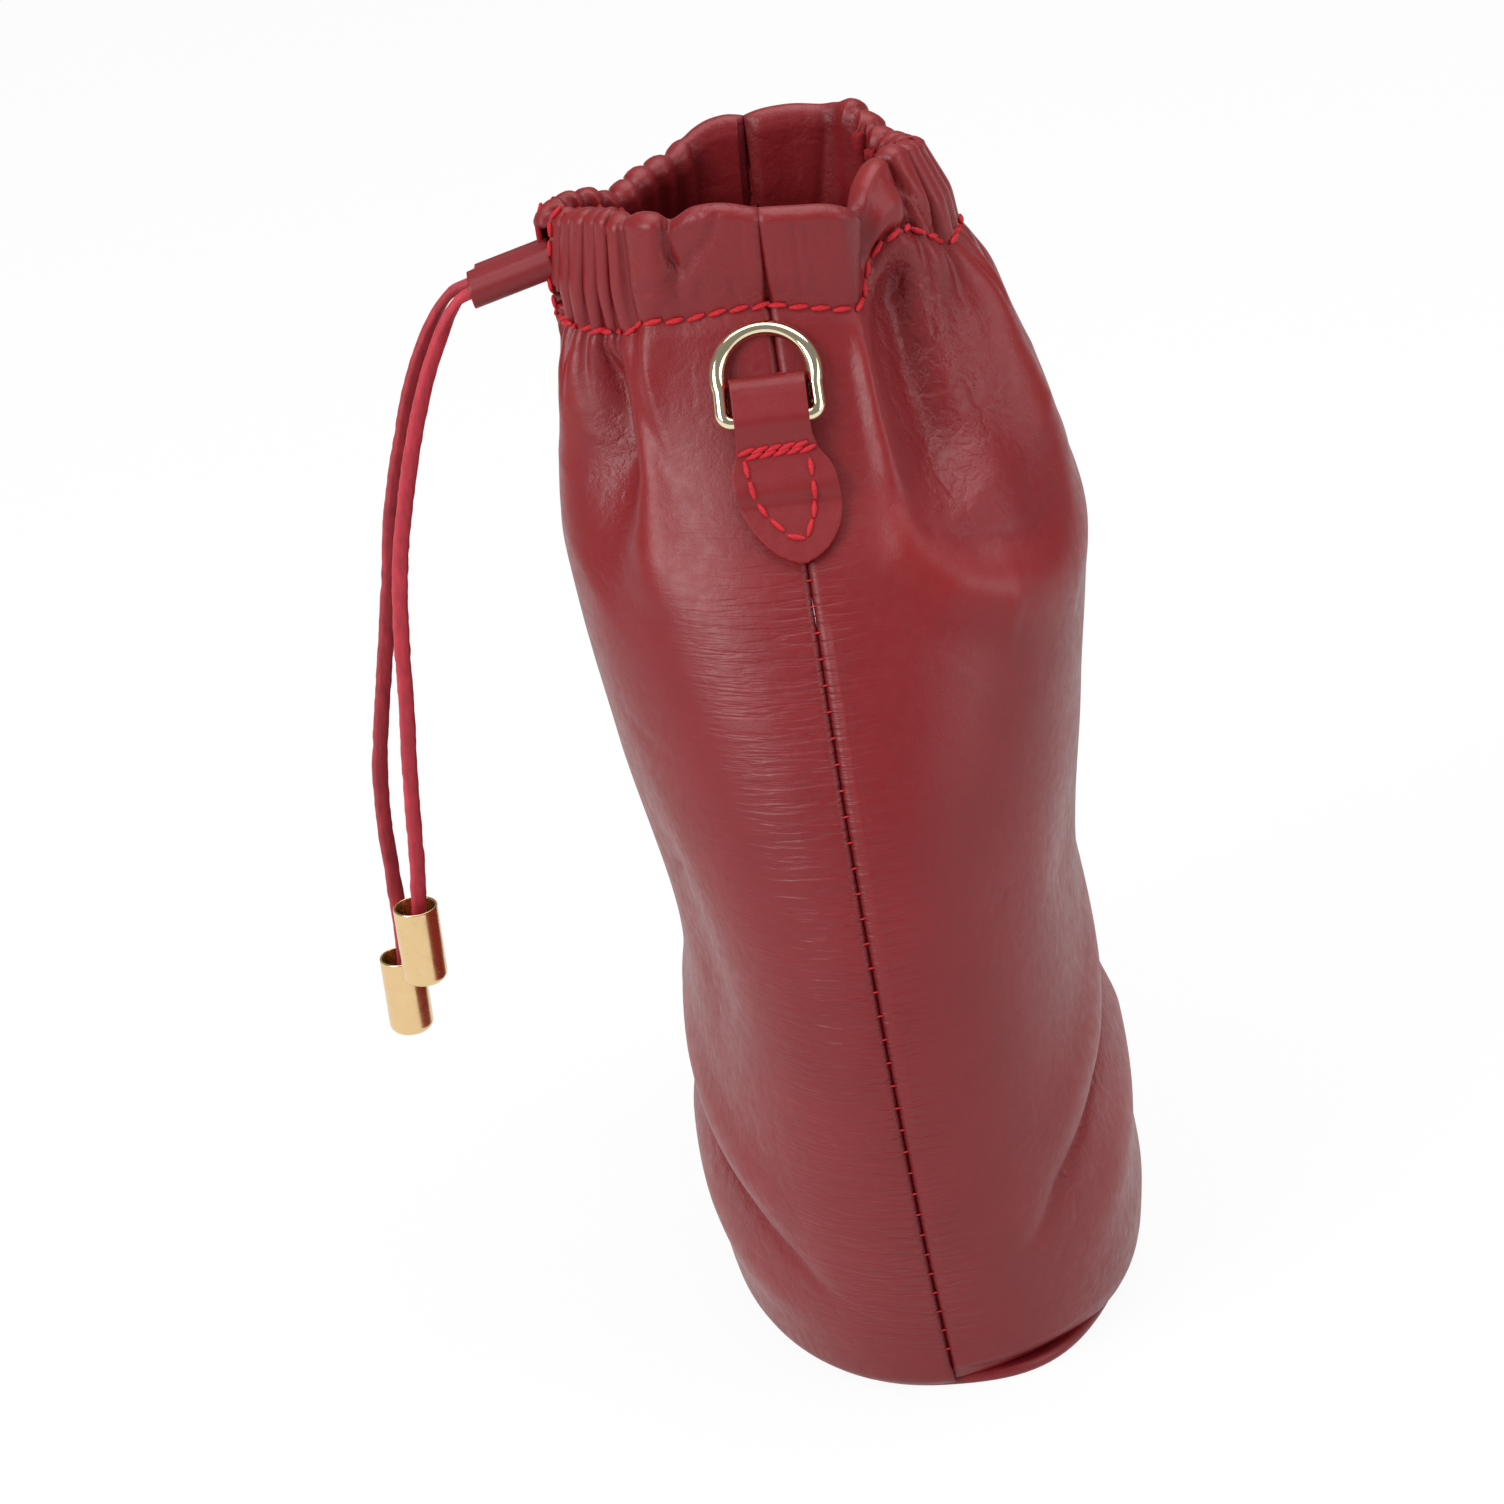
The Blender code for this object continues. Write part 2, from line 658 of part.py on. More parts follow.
def through_points(points, count):
    """Read an even run of points from a smooth curve through a route's points."""
    dense = []
    for i in range(len(points) - 1):
        before = points[max(i - 1, 0)]
        start = points[i]
        end = points[i + 1]
        after = points[min(i + 2, len(points) - 1)]
        for step in range(12):
            t = step / 12.0
            dense.append(
                0.5
                * (
                    2.0 * start
                    + (end - before) * t
                    + (2.0 * before - 5.0 * start + 4.0 * end - after) * t * t
                    + (3.0 * start - before - 3.0 * end + after) * t * t * t
                )
            )
    dense.append(points[-1])
    lengths = [0.0]
    for a, b in zip(dense[:-1], dense[1:]):
        lengths.append(lengths[-1] + (b - a).length)
    even = []
    i = 0
    for step in range(count):
        target = lengths[-1] * step / (count - 1)
        while i < len(lengths) - 2 and lengths[i + 1] < target:
            i += 1
        part = (target - lengths[i]) / (lengths[i + 1] - lengths[i])
        even.append(dense[i].lerp(dense[i + 1], part))
    return even


def channel_loop():
    """Points of the lace's loop inside the channel, from the slot and back to it."""
    points = []
    turns = [(-1, (70, 46, 20)), (1, (12, 40, 66, 90, 114, 140, 168)), (-1, (160, 134, 110))]
    for side, turns_deg in turns:
        for turn_deg in turns_deg:
            angle = math.radians(turn_deg)
            place = section_point(CORD_HEIGHT, angle, side)
            inward = section_normal(CORD_HEIGHT, angle, side) * CHANNEL_HALF
            points.append(place - inward)
    return points


def lace_route():
    """The whole lace: one end, the slider, round the channel and back."""
    def straight_run(side_x):
        shift = Vector((side_x * LACE_SPACING / 2.0, 0.0, 0.0))
        outer = SLIDER_INNER_END + SLIDER_AXIS * (SLIDER_LENGTH + SLIDER_LEAD_OUT) + shift
        middle = SLIDER_INNER_END + SLIDER_AXIS * SLIDER_LENGTH / 2.0 + shift
        inner = SLIDER_INNER_END + shift
        entry = SLIDER_INNER_END - SLIDER_AXIS * (SLIDER_OFF_POUCH + CHANNEL_HALF + GAP) + shift
        return [outer, middle, inner, entry]
    front_end = [Vector(point) * MM for point in reversed(FRONT_LACE_ROUTE)]
    back_end = [Vector(point) * MM for point in BACK_LACE_ROUTE]
    front_end += straight_run(1.0)
    back_end = list(reversed(straight_run(-1.0))) + back_end
    return front_end + channel_loop() + back_end


def make_lace(name, finish):
    """The drawcord, one lace from ferrule to ferrule."""
    curve = bpy.data.curves.new(name, "CURVE")
    curve.dimensions = "3D"
    curve.bevel_depth = LACE / 2.0
    curve.bevel_resolution = WIRE_SIDES_RESOLUTION
    curve.use_fill_caps = True
    points = through_points(lace_route(), CORD_POINTS)
    spline = curve.splines.new("POLY")
    spline.points.add(len(points) - 1)
    for point, place in zip(spline.points, points):
        point.co = (*place, 1.0)
    return add_object(name, curve, finish)


def make_ferrule(name, lace_end, finish):
    """Metal cup that closes a lace's end: open top, thin wall, rounded foot."""
    radius = FERRULE_DIAMETER / 2.0
    profile = [(0.0, 0.0), (radius - FERRULE_FOOT, 0.0)]
    for turn_deg in (-60.0, -30.0, 0.0):
        turn = math.radians(turn_deg)
        across = radius - FERRULE_FOOT + FERRULE_FOOT * math.cos(turn)
        profile.append((across, FERRULE_FOOT + FERRULE_FOOT * math.sin(turn)))
    profile.append((radius, FERRULE_LENGTH))
    profile.append((radius - FERRULE_WALL, FERRULE_LENGTH))
    profile.append((radius - FERRULE_WALL, 2.0 * FERRULE_FOOT))
    profile.append((0.0, 2.0 * FERRULE_FOOT))
    builder = bmesh.new()
    verts = [builder.verts.new((across, 0.0, up)) for across, up in profile]
    edges = [builder.edges.new(pair) for pair in zip(verts[:-1], verts[1:])]
    bmesh.ops.spin(
        builder,
        geom=verts + edges,
        axis=(0.0, 0.0, 1.0),
        cent=(0.0, 0.0, 0.0),
        angle=2.0 * math.pi,
        steps=ROUND_SIDES,
        use_merge=True,
    )
    bmesh.ops.remove_doubles(builder, verts=builder.verts, dist=0.005 * MM)
    bmesh.ops.recalc_face_normals(builder, faces=builder.faces)
    ferrule = add_object(name, mesh_from(name, builder), finish)
    ferrule.data.set_sharp_from_angle(angle=math.radians(35.0))
    ferrule.location = lace_end - Vector((0.0, 0.0, 2.0 * FERRULE_FOOT + GAP))
    return ferrule


def cut_slot(panel):
    """Cut the slot in the channel's outer wall where the two laces come out."""
    builder = bmesh.new()
    bmesh.ops.create_cube(builder, size=1.0)
    depth = PLEAT_OUT + CHANNEL_HALF + SLOT_CUT_MARGIN
    bmesh.ops.scale(builder, verts=builder.verts, vec=(SLOT_WIDTH, depth, SLOT_HEIGHT))
    place = SLOT_PLACE + Vector((0.0, CHANNEL_HALF - depth / 2.0, 0.0))
    bmesh.ops.translate(builder, verts=builder.verts, vec=place)
    mesh = bpy.data.meshes.new("slot_cutter")
    builder.to_mesh(mesh)
    builder.free()
    cutter = bpy.data.objects.new("slot_cutter", mesh)
    bpy.context.scene.collection.objects.link(cutter)
    cutter.hide_render = True
    cutter.display_type = "WIRE"
    cut = panel.modifiers.new("lace slot", "BOOLEAN")
    cut.operation = "DIFFERENCE"
    cut.solver = "EXACT"
    cut.object = cutter


leather = material("oxblood leather", OXBLOOD, 0.42)
lace_leather = material("red lace leather", LACE_RED, 0.60)
ring_metal = material("pale gold metal", PALE_GOLD, 0.16, 1.0)
ferrule_metal = material("warm gold metal", WARM_GOLD, 0.28, 1.0)

front_panel = make_panel("front_panel", -1, leather)
back_panel = make_panel("back_panel", 1, leather)
cut_slot(front_panel)
make_base("base_panel", leather)
for tab_name, ring_name, tab_side in (
    ("side_tab_right", "d_ring_right", 1.0),
    ("side_tab_left", "d_ring_left", -1.0),
):
    make_tab(tab_name, tab_side, leather)
    make_ring(ring_name, tab_side, ring_metal)
make_slider("cord_slider", leather)
drawcord = make_lace("drawcord", lace_leather)
cord_route = lace_route()
make_ferrule("ferrule_front", cord_route[0], ferrule_metal)
make_ferrule("ferrule_back", cord_route[-1], ferrule_metal)
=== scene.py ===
# %% [markdown]
# # A gathered leather pouch
# This lesson dresses a small drawstring pouch of oxblood leather. It stands on an oval
# base, its mouth is gathered on a flat red lace, and a D-ring hangs from a leather tab
# at each side. The solids come from the CAD model, and every visible piece is laid
# over its own solid, in the same frame.

# %% Load the CAD model
import json
import math

import bmesh
import bpy
import numpy as np
from mathutils import Matrix, Vector


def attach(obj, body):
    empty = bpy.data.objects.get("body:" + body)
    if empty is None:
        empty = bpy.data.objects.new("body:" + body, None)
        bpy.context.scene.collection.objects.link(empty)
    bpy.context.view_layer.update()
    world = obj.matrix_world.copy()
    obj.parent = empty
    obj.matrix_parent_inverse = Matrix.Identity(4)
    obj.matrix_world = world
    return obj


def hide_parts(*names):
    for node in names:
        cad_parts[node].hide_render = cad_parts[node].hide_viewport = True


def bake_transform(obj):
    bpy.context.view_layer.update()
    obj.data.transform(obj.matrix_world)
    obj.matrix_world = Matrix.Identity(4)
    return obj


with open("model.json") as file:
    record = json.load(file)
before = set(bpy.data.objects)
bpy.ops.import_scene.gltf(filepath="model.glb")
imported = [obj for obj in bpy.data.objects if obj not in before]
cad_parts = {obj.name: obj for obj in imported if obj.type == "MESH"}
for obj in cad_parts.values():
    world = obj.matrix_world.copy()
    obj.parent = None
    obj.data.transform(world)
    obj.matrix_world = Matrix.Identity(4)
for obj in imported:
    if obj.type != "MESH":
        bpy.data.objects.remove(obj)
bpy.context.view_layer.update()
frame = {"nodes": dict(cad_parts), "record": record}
MM = 0.001
print("CAD nodes:", sorted(frame["nodes"]))

# %% [markdown]
# ## The camera
# The picture looks at the pouch's narrow end from above, 950 mm away, and the camera is
# tipped a few degrees to one side. A camera could be aimed with a Track To constraint.
# Three axis vectors are clearer here, because the tilt is simply a turn of two of them.

# %% Camera
CAMERA_ABOVE_DEG = 25.0
CAMERA_ROLL_DEG = 7.0
CAMERA_DISTANCE = 950.0 * MM
CAMERA_AIM = Vector((0.0, -23.6, 104.0)) * MM
CAMERA_LENS = 119.44


def add_camera():
    """Long-lens camera on the +X side, with its own tilt."""
    above = math.radians(CAMERA_ABOVE_DEG)
    roll = math.radians(CAMERA_ROLL_DEG)
    back = Vector((math.cos(above), 0.0, math.sin(above)))
    level_right = Vector((0.0, 0.0, 1.0)).cross(back).normalized()
    level_up = back.cross(level_right)
    right = level_right * math.cos(roll) - level_up * math.sin(roll)
    up = level_right * math.sin(roll) + level_up * math.cos(roll)
    lens = bpy.data.cameras.new("photo camera")
    lens.lens = CAMERA_LENS
    lens.sensor_width = 36.0
    lens.clip_start = 0.01
    made = bpy.data.objects.new("photo camera", lens)
    bpy.context.scene.collection.objects.link(made)
    turn = Matrix((right, up, back)).transposed().to_4x4()
    made.matrix_world = Matrix.Translation(CAMERA_AIM + back * CAMERA_DISTANCE) @ turn
    bpy.context.scene.camera = made
    return made


camera = add_camera()
print("camera at", [round(c, 3) for c in camera.matrix_world.translation])

# %% [markdown]
# ## Helpers for smooth shapes
# Soft leather has no straight lines, so most shapes here are read from a few stations
# with a smooth curve between them. Sheets start as a flat grid from
# `bmesh.ops.create_grid`, and each point is then moved to its place.

# %% Smooth curves and sheets
def smooth(edge_0, edge_1, value):
    """Go smoothly from 0 at edge_0 to 1 at edge_1."""
    t = np.clip((value - edge_0) / (edge_1 - edge_0), 0.0, 1.0)
    return t * t * (3.0 - 2.0 * t)


def read_stations(stations, at):
    """Read a smooth curve through (height, value) stations."""
    places = np.array([place for place, _ in stations])
    values = np.array([value for _, value in stations])
    i = np.clip(np.searchsorted(places, at) - 1, 0, len(places) - 2)
    before = np.maximum(i - 1, 0)
    after = np.minimum(i + 2, len(places) - 1)
    span = places[i + 1] - places[i]
    slope_0 = (values[i + 1] - values[before]) / (places[i + 1] - places[before]) * span
    slope_1 = (values[after] - values[i]) / (places[after] - places[i]) * span
    t = np.clip((at - places[i]) / span, 0.0, 1.0)
    rise = (3.0 - 2.0 * t) * t * t
    start = slope_0 * t * (1.0 - t) ** 2
    end = slope_1 * t * t * (1.0 - t)
    return values[i] + (values[i + 1] - values[i]) * rise + start - end


def even_curve(points, count):
    """Even points along a smooth curve through a few points."""
    points = np.array(points, float)
    padded = np.vstack([2 * points[0] - points[1], points, 2 * points[-1] - points[-2]])
    t = np.linspace(0.0, 1.0, 16, endpoint=False)[:, None]
    runs = []
    for a, b, c, d in zip(padded[:-3], padded[1:-2], padded[2:-1], padded[3:]):
        bend = (2 * a - 5 * b + 4 * c - d) * t ** 2 + (3 * b - a - 3 * c + d) * t ** 3
        runs.append(0.5 * (2 * b + (c - a) * t + bend))
    dense = np.vstack(runs + [points[-1:]])
    steps = np.linalg.norm(np.diff(dense, axis=0), axis=1)
    length = np.concatenate([[0.0], np.cumsum(steps)])
    at = np.linspace(0.0, length[-1], count)
    return np.stack([np.interp(at, length, dense[:, k]) for k in range(dense.shape[1])], 1)


def lay_sheet(places, closed=False):
    """A grid of faces whose points lie at places[row][column]."""
    rows, columns = places.shape[:2]
    sheet = bmesh.new()
    made = bmesh.ops.create_grid(sheet, x_segments=columns - 1, y_segments=rows - 1, size=0.5)
    # create_grid makes its points row by row
    for vert, place in zip(made["verts"], places.reshape(-1, 3)):
        vert.co = place
    if closed:
        bmesh.ops.remove_doubles(sheet, verts=sheet.verts, dist=0.002 * MM)
    return sheet


def finish_piece(name, builder, *finishes):
    """Turn a bmesh into a smooth piece in the scene."""
    mesh = bpy.data.meshes.new(name)
    builder.to_mesh(mesh)
    builder.free()
    mesh.shade_smooth()
    for finish in finishes:
        mesh.materials.append(finish)
    made = bpy.data.objects.new(name, mesh)
    bpy.context.scene.collection.objects.link(made)
    print(name, len(mesh.polygons), "faces")
    return made


# %% [markdown]
# ## Leather finishes
# Smooth dyed calf leather is nearly one colour, yet never flat: it has a fine grain and
# its dye lies unevenly. On top of that, fold ridges get a painted highlight, and the crease
# at the side seam and the valleys of the channel's pleats a painted shade. One node group
# makes those colours and the grain's height, and every leather piece uses it with its own
# numbers. Painted attributes on the mesh say where the painted highlight and the painted
# shade lie, and where the leather is puckered by a seam or crumpled.

# %% Node helpers
def new_material(name):
    """Material with its node tree, its links and its Principled shader."""
    made = bpy.data.materials.new(name)
    made.use_nodes = True
    return made, made.node_tree, made.node_tree.nodes["Principled BSDF"]


def add_math(tree, operation, first, second=None):
    """Math node on sockets or numbers."""
    node = tree.nodes.new("ShaderNodeMath")
    node.operation = operation
    for socket, value in zip(node.inputs, (first, second)):
        if value is None:
            continue
        if isinstance(value, (int, float)):
            socket.default_value = value
        else:
            tree.links.new(value, socket)
    return node.outputs[0]


def add_mix(tree, share, first, second):
    """Colour mix of sockets or colours."""
    node = tree.nodes.new("ShaderNodeMix")
    node.data_type = "RGBA"
    for name, value in (("Factor_Float", share), ("A_Color", first), ("B_Color", second)):
        socket = next(s for s in node.inputs if s.identifier == name)
        if isinstance(value, (int, float)):
            socket.default_value = value
        elif isinstance(value, tuple):
            socket.default_value = (*value, 1.0)
        else:
            tree.links.new(value, socket)
    return next(s for s in node.outputs if s.identifier == "Result_Color")


def add_noise(tree, place, scale, detail=3.0, roughness=0.5):
    """Noise texture on a vector socket."""
    node = tree.nodes.new("ShaderNodeTexNoise")
    node.inputs["Scale"].default_value = scale
    node.inputs["Detail"].default_value = detail
    node.inputs["Roughness"].default_value = roughness
    tree.links.new(place, node.inputs["Vector"])
    return node.outputs["Fac"]


def add_range(tree, value, low, high, to_low=0.0, to_high=1.0):
    """Map Range node."""
    node = tree.nodes.new("ShaderNodeMapRange")
    for name, number in (
        ("From Min", low), ("From Max", high), ("To Min", to_low), ("To Max", to_high)
    ):
        node.inputs[name].default_value = number
    tree.links.new(value, node.inputs["Value"])
    return node.outputs["Result"]


def add_bump(tree, height, distance, shader, strength=1.0):
    """Bump node that feeds the shader's normal."""
    node = tree.nodes.new("ShaderNodeBump")
    node.inputs["Distance"].default_value = distance
    node.inputs["Strength"].default_value = strength
    tree.links.new(height, node.inputs["Height"])
    tree.links.new(node.outputs["Normal"], shader.inputs["Normal"])


# %% Leather group
def make_leather_group():
    """Colour, with painted highlight and painted shade, and grain height of smooth dyed leather."""
    group = bpy.data.node_groups.new("smooth leather", "ShaderNodeTree")
    socket = group.interface.new_socket
    for name in ("Place", "Flow"):
        socket(name=name, in_out="INPUT", socket_type="NodeSocketVector")
    # Colours: the dye, a darker one for random mottle and painted shade, and a lighter one for painted highlight on
    # ridges
    for name in ("Dye", "Mottle and shade colour", "Ridge highlight colour"):
        socket(name=name, in_out="INPUT", socket_type="NodeSocketColor")
    # Masks: painted highlight, painted shade, then pucker and crumple, which only shape the bump
    for name in ("Ridge highlight", "Seam and valley shade", "Pucker", "Crumple"):
        socket(name=name, in_out="INPUT", socket_type="NodeSocketFloat")
    socket(name="Color", in_out="OUTPUT", socket_type="NodeSocketColor")
    socket(name="Roughness", in_out="OUTPUT", socket_type="NodeSocketFloat")
    socket(name="Height", in_out="OUTPUT", socket_type="NodeSocketFloat")
    ends = group.nodes.new("NodeGroupInput").outputs
    result = group.nodes.new("NodeGroupOutput").inputs
    place = ends["Place"]

    # Pores and fine creases of the grain, about half a millimetre apart
    grain = group.nodes.new("ShaderNodeTexVoronoi")
    grain.feature = "DISTANCE_TO_EDGE"
    grain.inputs["Scale"].default_value = 1500.0
    group.links.new(place, grain.inputs["Vector"])
    pebble = add_range(group, grain.outputs["Distance"], 0.0, 0.35)
    haze = add_noise(group, place, 420.0, 4.0, 0.6)

    # Crumpled leather: broken creases that run every way
    crease_noise = add_noise(group, place, 150.0, 4.0, 0.62)
    crease = add_math(group, "ABSOLUTE", add_math(group, "SUBTRACT", crease_noise, 0.5))
    crease = add_range(group, crease, 0.0, 0.09)
    long_noise = add_noise(group, place, 62.0, 3.0, 0.55)
    long_crease = add_math(group, "ABSOLUTE", add_math(group, "SUBTRACT", long_noise, 0.5))
    long_crease = add_range(group, long_crease, 0.0, 0.05)

    # Puckers beside a seam: short wrinkles that run across it
    wrinkle_noise = add_noise(group, ends["Flow"], 1.0, 3.0, 0.55)
    wrinkle = add_math(group, "ABSOLUTE", add_math(group, "SUBTRACT", wrinkle_noise, 0.5))
    wrinkle = add_range(group, wrinkle, 0.0, 0.10)

    height = add_math(group, "MULTIPLY", pebble, 0.05)
    height = add_math(group, "ADD", height, add_math(group, "MULTIPLY", haze, 0.22))
    crumple = add_math(group, "MULTIPLY", crease, ends["Crumple"])
    height = add_math(group, "ADD", height, add_math(group, "MULTIPLY", crumple, 0.75))
    folded = add_math(group, "MULTIPLY", long_crease, ends["Crumple"])
    height = add_math(group, "ADD", height, add_math(group, "MULTIPLY", folded, 0.9))
    pucker = add_math(group, "MULTIPLY", wrinkle, ends["Pucker"])
    height = add_math(group, "ADD", height, add_math(group, "MULTIPLY", pucker, 0.85))
    group.links.new(height, result["Height"])

    # The dye lies unevenly at random; fold ridges get a painted highlight, and the seam crease and pleat valleys a
    # painted shade
    cloud = add_range(group, add_noise(group, place, 45.0, 4.0, 0.6), 0.3, 0.7, 0.0, 0.30)
    shade = add_mix(group, cloud, ends["Dye"], ends["Mottle and shade colour"])
    shade = add_mix(group, ends["Ridge highlight"], shade, ends["Ridge highlight colour"])
    shade = add_mix(group, ends["Seam and valley shade"], shade, ends["Mottle and shade colour"])
    group.links.new(shade, result["Color"])
    dull = add_range(group, haze, 0.3, 0.7, 0.36, 0.48)
    group.links.new(add_math(group, "ADD", dull, add_math(group, "MULTIPLY", ends["Seam and valley shade"], 0.12)), result["Roughness"])
    return group


leather_group = make_leather_group()
# Mesh masks: painted highlight on ridges, painted shade at the seam and in pleat valleys, seam pucker and crumple
ATTRIBUTES = {"Ridge highlight": "ridge_highlight", "Seam and valley shade": "seam_and_valley_shade", "Pucker": "pucker", "Crumple": "crumple"}


def make_leather(name, dye, mottle_and_shade_colour, ridge_highlight_colour, bump, attributes=True):
    """One leather finish from the shared group."""
    made, tree, shader = new_material(name)
    node = tree.nodes.new("ShaderNodeGroup")
    node.node_tree = leather_group
    place = tree.nodes.new("ShaderNodeTexCoord")
    tree.links.new(place.outputs["Object"], node.inputs["Place"])
    spread = tree.nodes.new("ShaderNodeMapping")
    spread.inputs["Scale"].default_value = (45.0, 420.0, 1.0)
    tree.links.new(place.outputs["UV"], spread.inputs["Vector"])
    tree.links.new(spread.outputs["Vector"], node.inputs["Flow"])
    for socket, colour in (("Dye", dye), ("Mottle and shade colour", mottle_and_shade_colour), ("Ridge highlight colour", ridge_highlight_colour)):
        node.inputs[socket].default_value = (*colour, 1.0)
    if attributes:
        for socket, attribute in ATTRIBUTES.items():
            reader = tree.nodes.new("ShaderNodeAttribute")
            reader.attribute_name = attribute
            tree.links.new(reader.outputs["Fac"], node.inputs[socket])
    tree.links.new(node.outputs["Color"], shader.inputs["Base Color"])
    tree.links.new(node.outputs["Roughness"], shader.inputs["Roughness"])
    shader.inputs["Specular IOR Level"].default_value = 0.38
    add_bump(tree, node.outputs["Height"], bump, shader)
    return made


# Dye, a darker colour for random mottle and painted shade, and a lighter one for painted highlight on ridges
OXBLOOD = (0.195, 0.011, 0.014)
OXBLOOD_MOTTLE_AND_SHADE = (0.110, 0.005, 0.007)
OXBLOOD_RIDGE_HIGHLIGHT = (0.260, 0.011, 0.012)
body_leather = make_leather("oxblood calf leather", OXBLOOD, OXBLOOD_MOTTLE_AND_SHADE, OXBLOOD_RIDGE_HIGHLIGHT, 0.18 * MM)
print("leather finish made")


# %% Flesh side, raw edges and thread
def make_matt(name, colour, shadow_colour, scale, bump, roughness=0.85):
    """Fibrous matt finish for suede, raw edges and thread."""
    made, tree, shader = new_material(name)
    place = tree.nodes.new("ShaderNodeTexCoord").outputs["Object"]
    fibre = add_noise(tree, place, scale, 5.0, 0.7)
    share = add_range(tree, fibre, 0.3, 0.7)
    tree.links.new(add_mix(tree, share, shadow_colour, colour), shader.inputs["Base Color"])
    shader.inputs["Roughness"].default_value = roughness
    shader.inputs["Specular IOR Level"].default_value = 0.25
    add_bump(tree, fibre, bump, shader)
    return made


suede = make_matt("red flesh side", (0.30, 0.012, 0.016), (0.14, 0.005, 0.008), 900.0, 0.25 * MM)
raw_edge = make_matt("red raw edge", (0.48, 0.022, 0.030), (0.26, 0.010, 0.016), 1400.0, 0.12 * MM, 0.7)
thread = make_matt("red thread", (0.62, 0.018, 0.030), (0.34, 0.008, 0.014), 2600.0, 0.10 * MM, 0.55)
print("suede, raw edge and thread made")

# %% [markdown]
# ## The lace
# One flat leather lace gathers the mouth. Its two ends come out of a slot at the front,
# run through a sliding keeper and hang to their metal ends. Inside the channel nobody
# sees it, so only its two free ends are built here. A lace could be a curve with a flat
# bevel. A swept sheet is used, so that its ragged cut edges can be shaped.

# %% Lace routes
SLIDER_DROP_DEG = 15.0
SLIDER_AXIS = np.array([0.0, -math.cos(math.radians(SLIDER_DROP_DEG)), -math.sin(math.radians(SLIDER_DROP_DEG))])
SLIDER_START = np.array([0.0, -48.545, 207.5])
SLIDER_LENGTH = 15.4
LACE_SPACING = 5.6
LACE_WIDTH = 2.6
front_hang = [
    (2.9, -67.6, 201.0), (2.9, -70.4, 196.4), (3.0, -74.2, 188.2), (3.1, -78.2, 176.8),
    (3.2, -81.9, 163.1), (3.4, -84.4, 151.0), (3.6, -86.0, 138.0), (3.8, -87.0, 124.0),
    (4.0, -88.2, 111.3), (4.2, -89.0, 100.0), (4.3, -89.6, 91.0), (4.4, -90.4, 83.0),
    (4.4, -91.0, 76.0), (4.4, -91.2, 70.0),
]
back_hang = [
    (-2.9, -68.6, 201.4), (-2.9, -72.4, 196.2), (-3.0, -76.9, 186.8), (-3.1, -81.0, 174.6),
    (-3.2, -84.7, 160.8), (-3.4, -87.0, 148.0), (-3.6, -89.3, 135.5), (-3.8, -92.0, 122.0),
    (-4.0, -94.3, 109.0), (-4.1, -95.2, 97.0), (-4.2, -95.2, 85.0), (-4.2, -95.2, 74.0),
    (-4.2, -95.6, 64.0), (-4.2, -96.0, 55.4),
]


def free_route(side_x, hang):
    """Route of one free end, from inside the slot to its metal end, in millimetres."""
    shift = np.array([side_x * LACE_SPACING / 2.0, 0.0, 0.0])
    along = (-4.0, 0.0, SLIDER_LENGTH / 2.0, SLIDER_LENGTH + 1.5)
    straight = [SLIDER_START + SLIDER_AXIS * distance + shift for distance in along]
    return straight + [np.array(point) for point in hang]


def sweep_lace(name, route, finish, flat_turn, seed):
    """Flat lace with softly ragged edges along a route."""
    line = even_curve(route, 190) * MM
    tangent = np.gradient(line, axis=0)
    tangent /= np.linalg.norm(tangent, axis=1)[:, None]
    across = np.cross(tangent, (0.0, -1.0, 0.35))
    across = np.tile((1.0, 0.0, 0.0), (len(line), 1)) if flat_turn is None else across
    across -= tangent * np.sum(across * tangent, axis=1)[:, None]
    across /= np.linalg.norm(across, axis=1)[:, None]
    up = np.cross(tangent, across)
    turn = np.radians(np.interp(np.linspace(0.0, 1.0, len(line)), *flat_turn))
    wide = across * np.cos(turn)[:, None] + up * np.sin(turn)[:, None]
    thin = up * np.cos(turn)[:, None] - across * np.sin(turn)[:, None]
    chance = np.random.default_rng(seed)
    around = np.linspace(0.0, 2.0 * math.pi, 17)
    ragged = chance.normal(0.0, 0.05, (len(line), 2))
    ragged = (ragged + np.roll(ragged, 1, axis=0)) * 0.5
    rows = []
    for i, place in enumerate(line):
        cos, sin = np.cos(around), np.sin(around)
        flat = np.sign(cos) * np.abs(cos) ** 0.55
        edge = np.where(cos > 0, 1.0 + ragged[i, 0], 1.0 + ragged[i, 1])
        half_width = 0.5 * LACE_WIDTH * 1.15 * MM
        half_thick = 0.5 * 1.9 * MM
        rows.append(
            place
            + wide[i] * (flat * edge * half_width)[:, None]
            + thin[i] * (np.sign(sin) * np.abs(sin) ** 0.75 * half_thick)[:, None]
        )
    tube = lay_sheet(np.array(rows), closed=True)
    ends = [edge for edge in tube.edges if edge.is_boundary]
    bmesh.ops.holes_fill(tube, edges=ends, sides=0)
    bmesh.ops.recalc_face_normals(tube, faces=tube.faces)
    made = finish_piece(name, tube, finish)
    return made, line


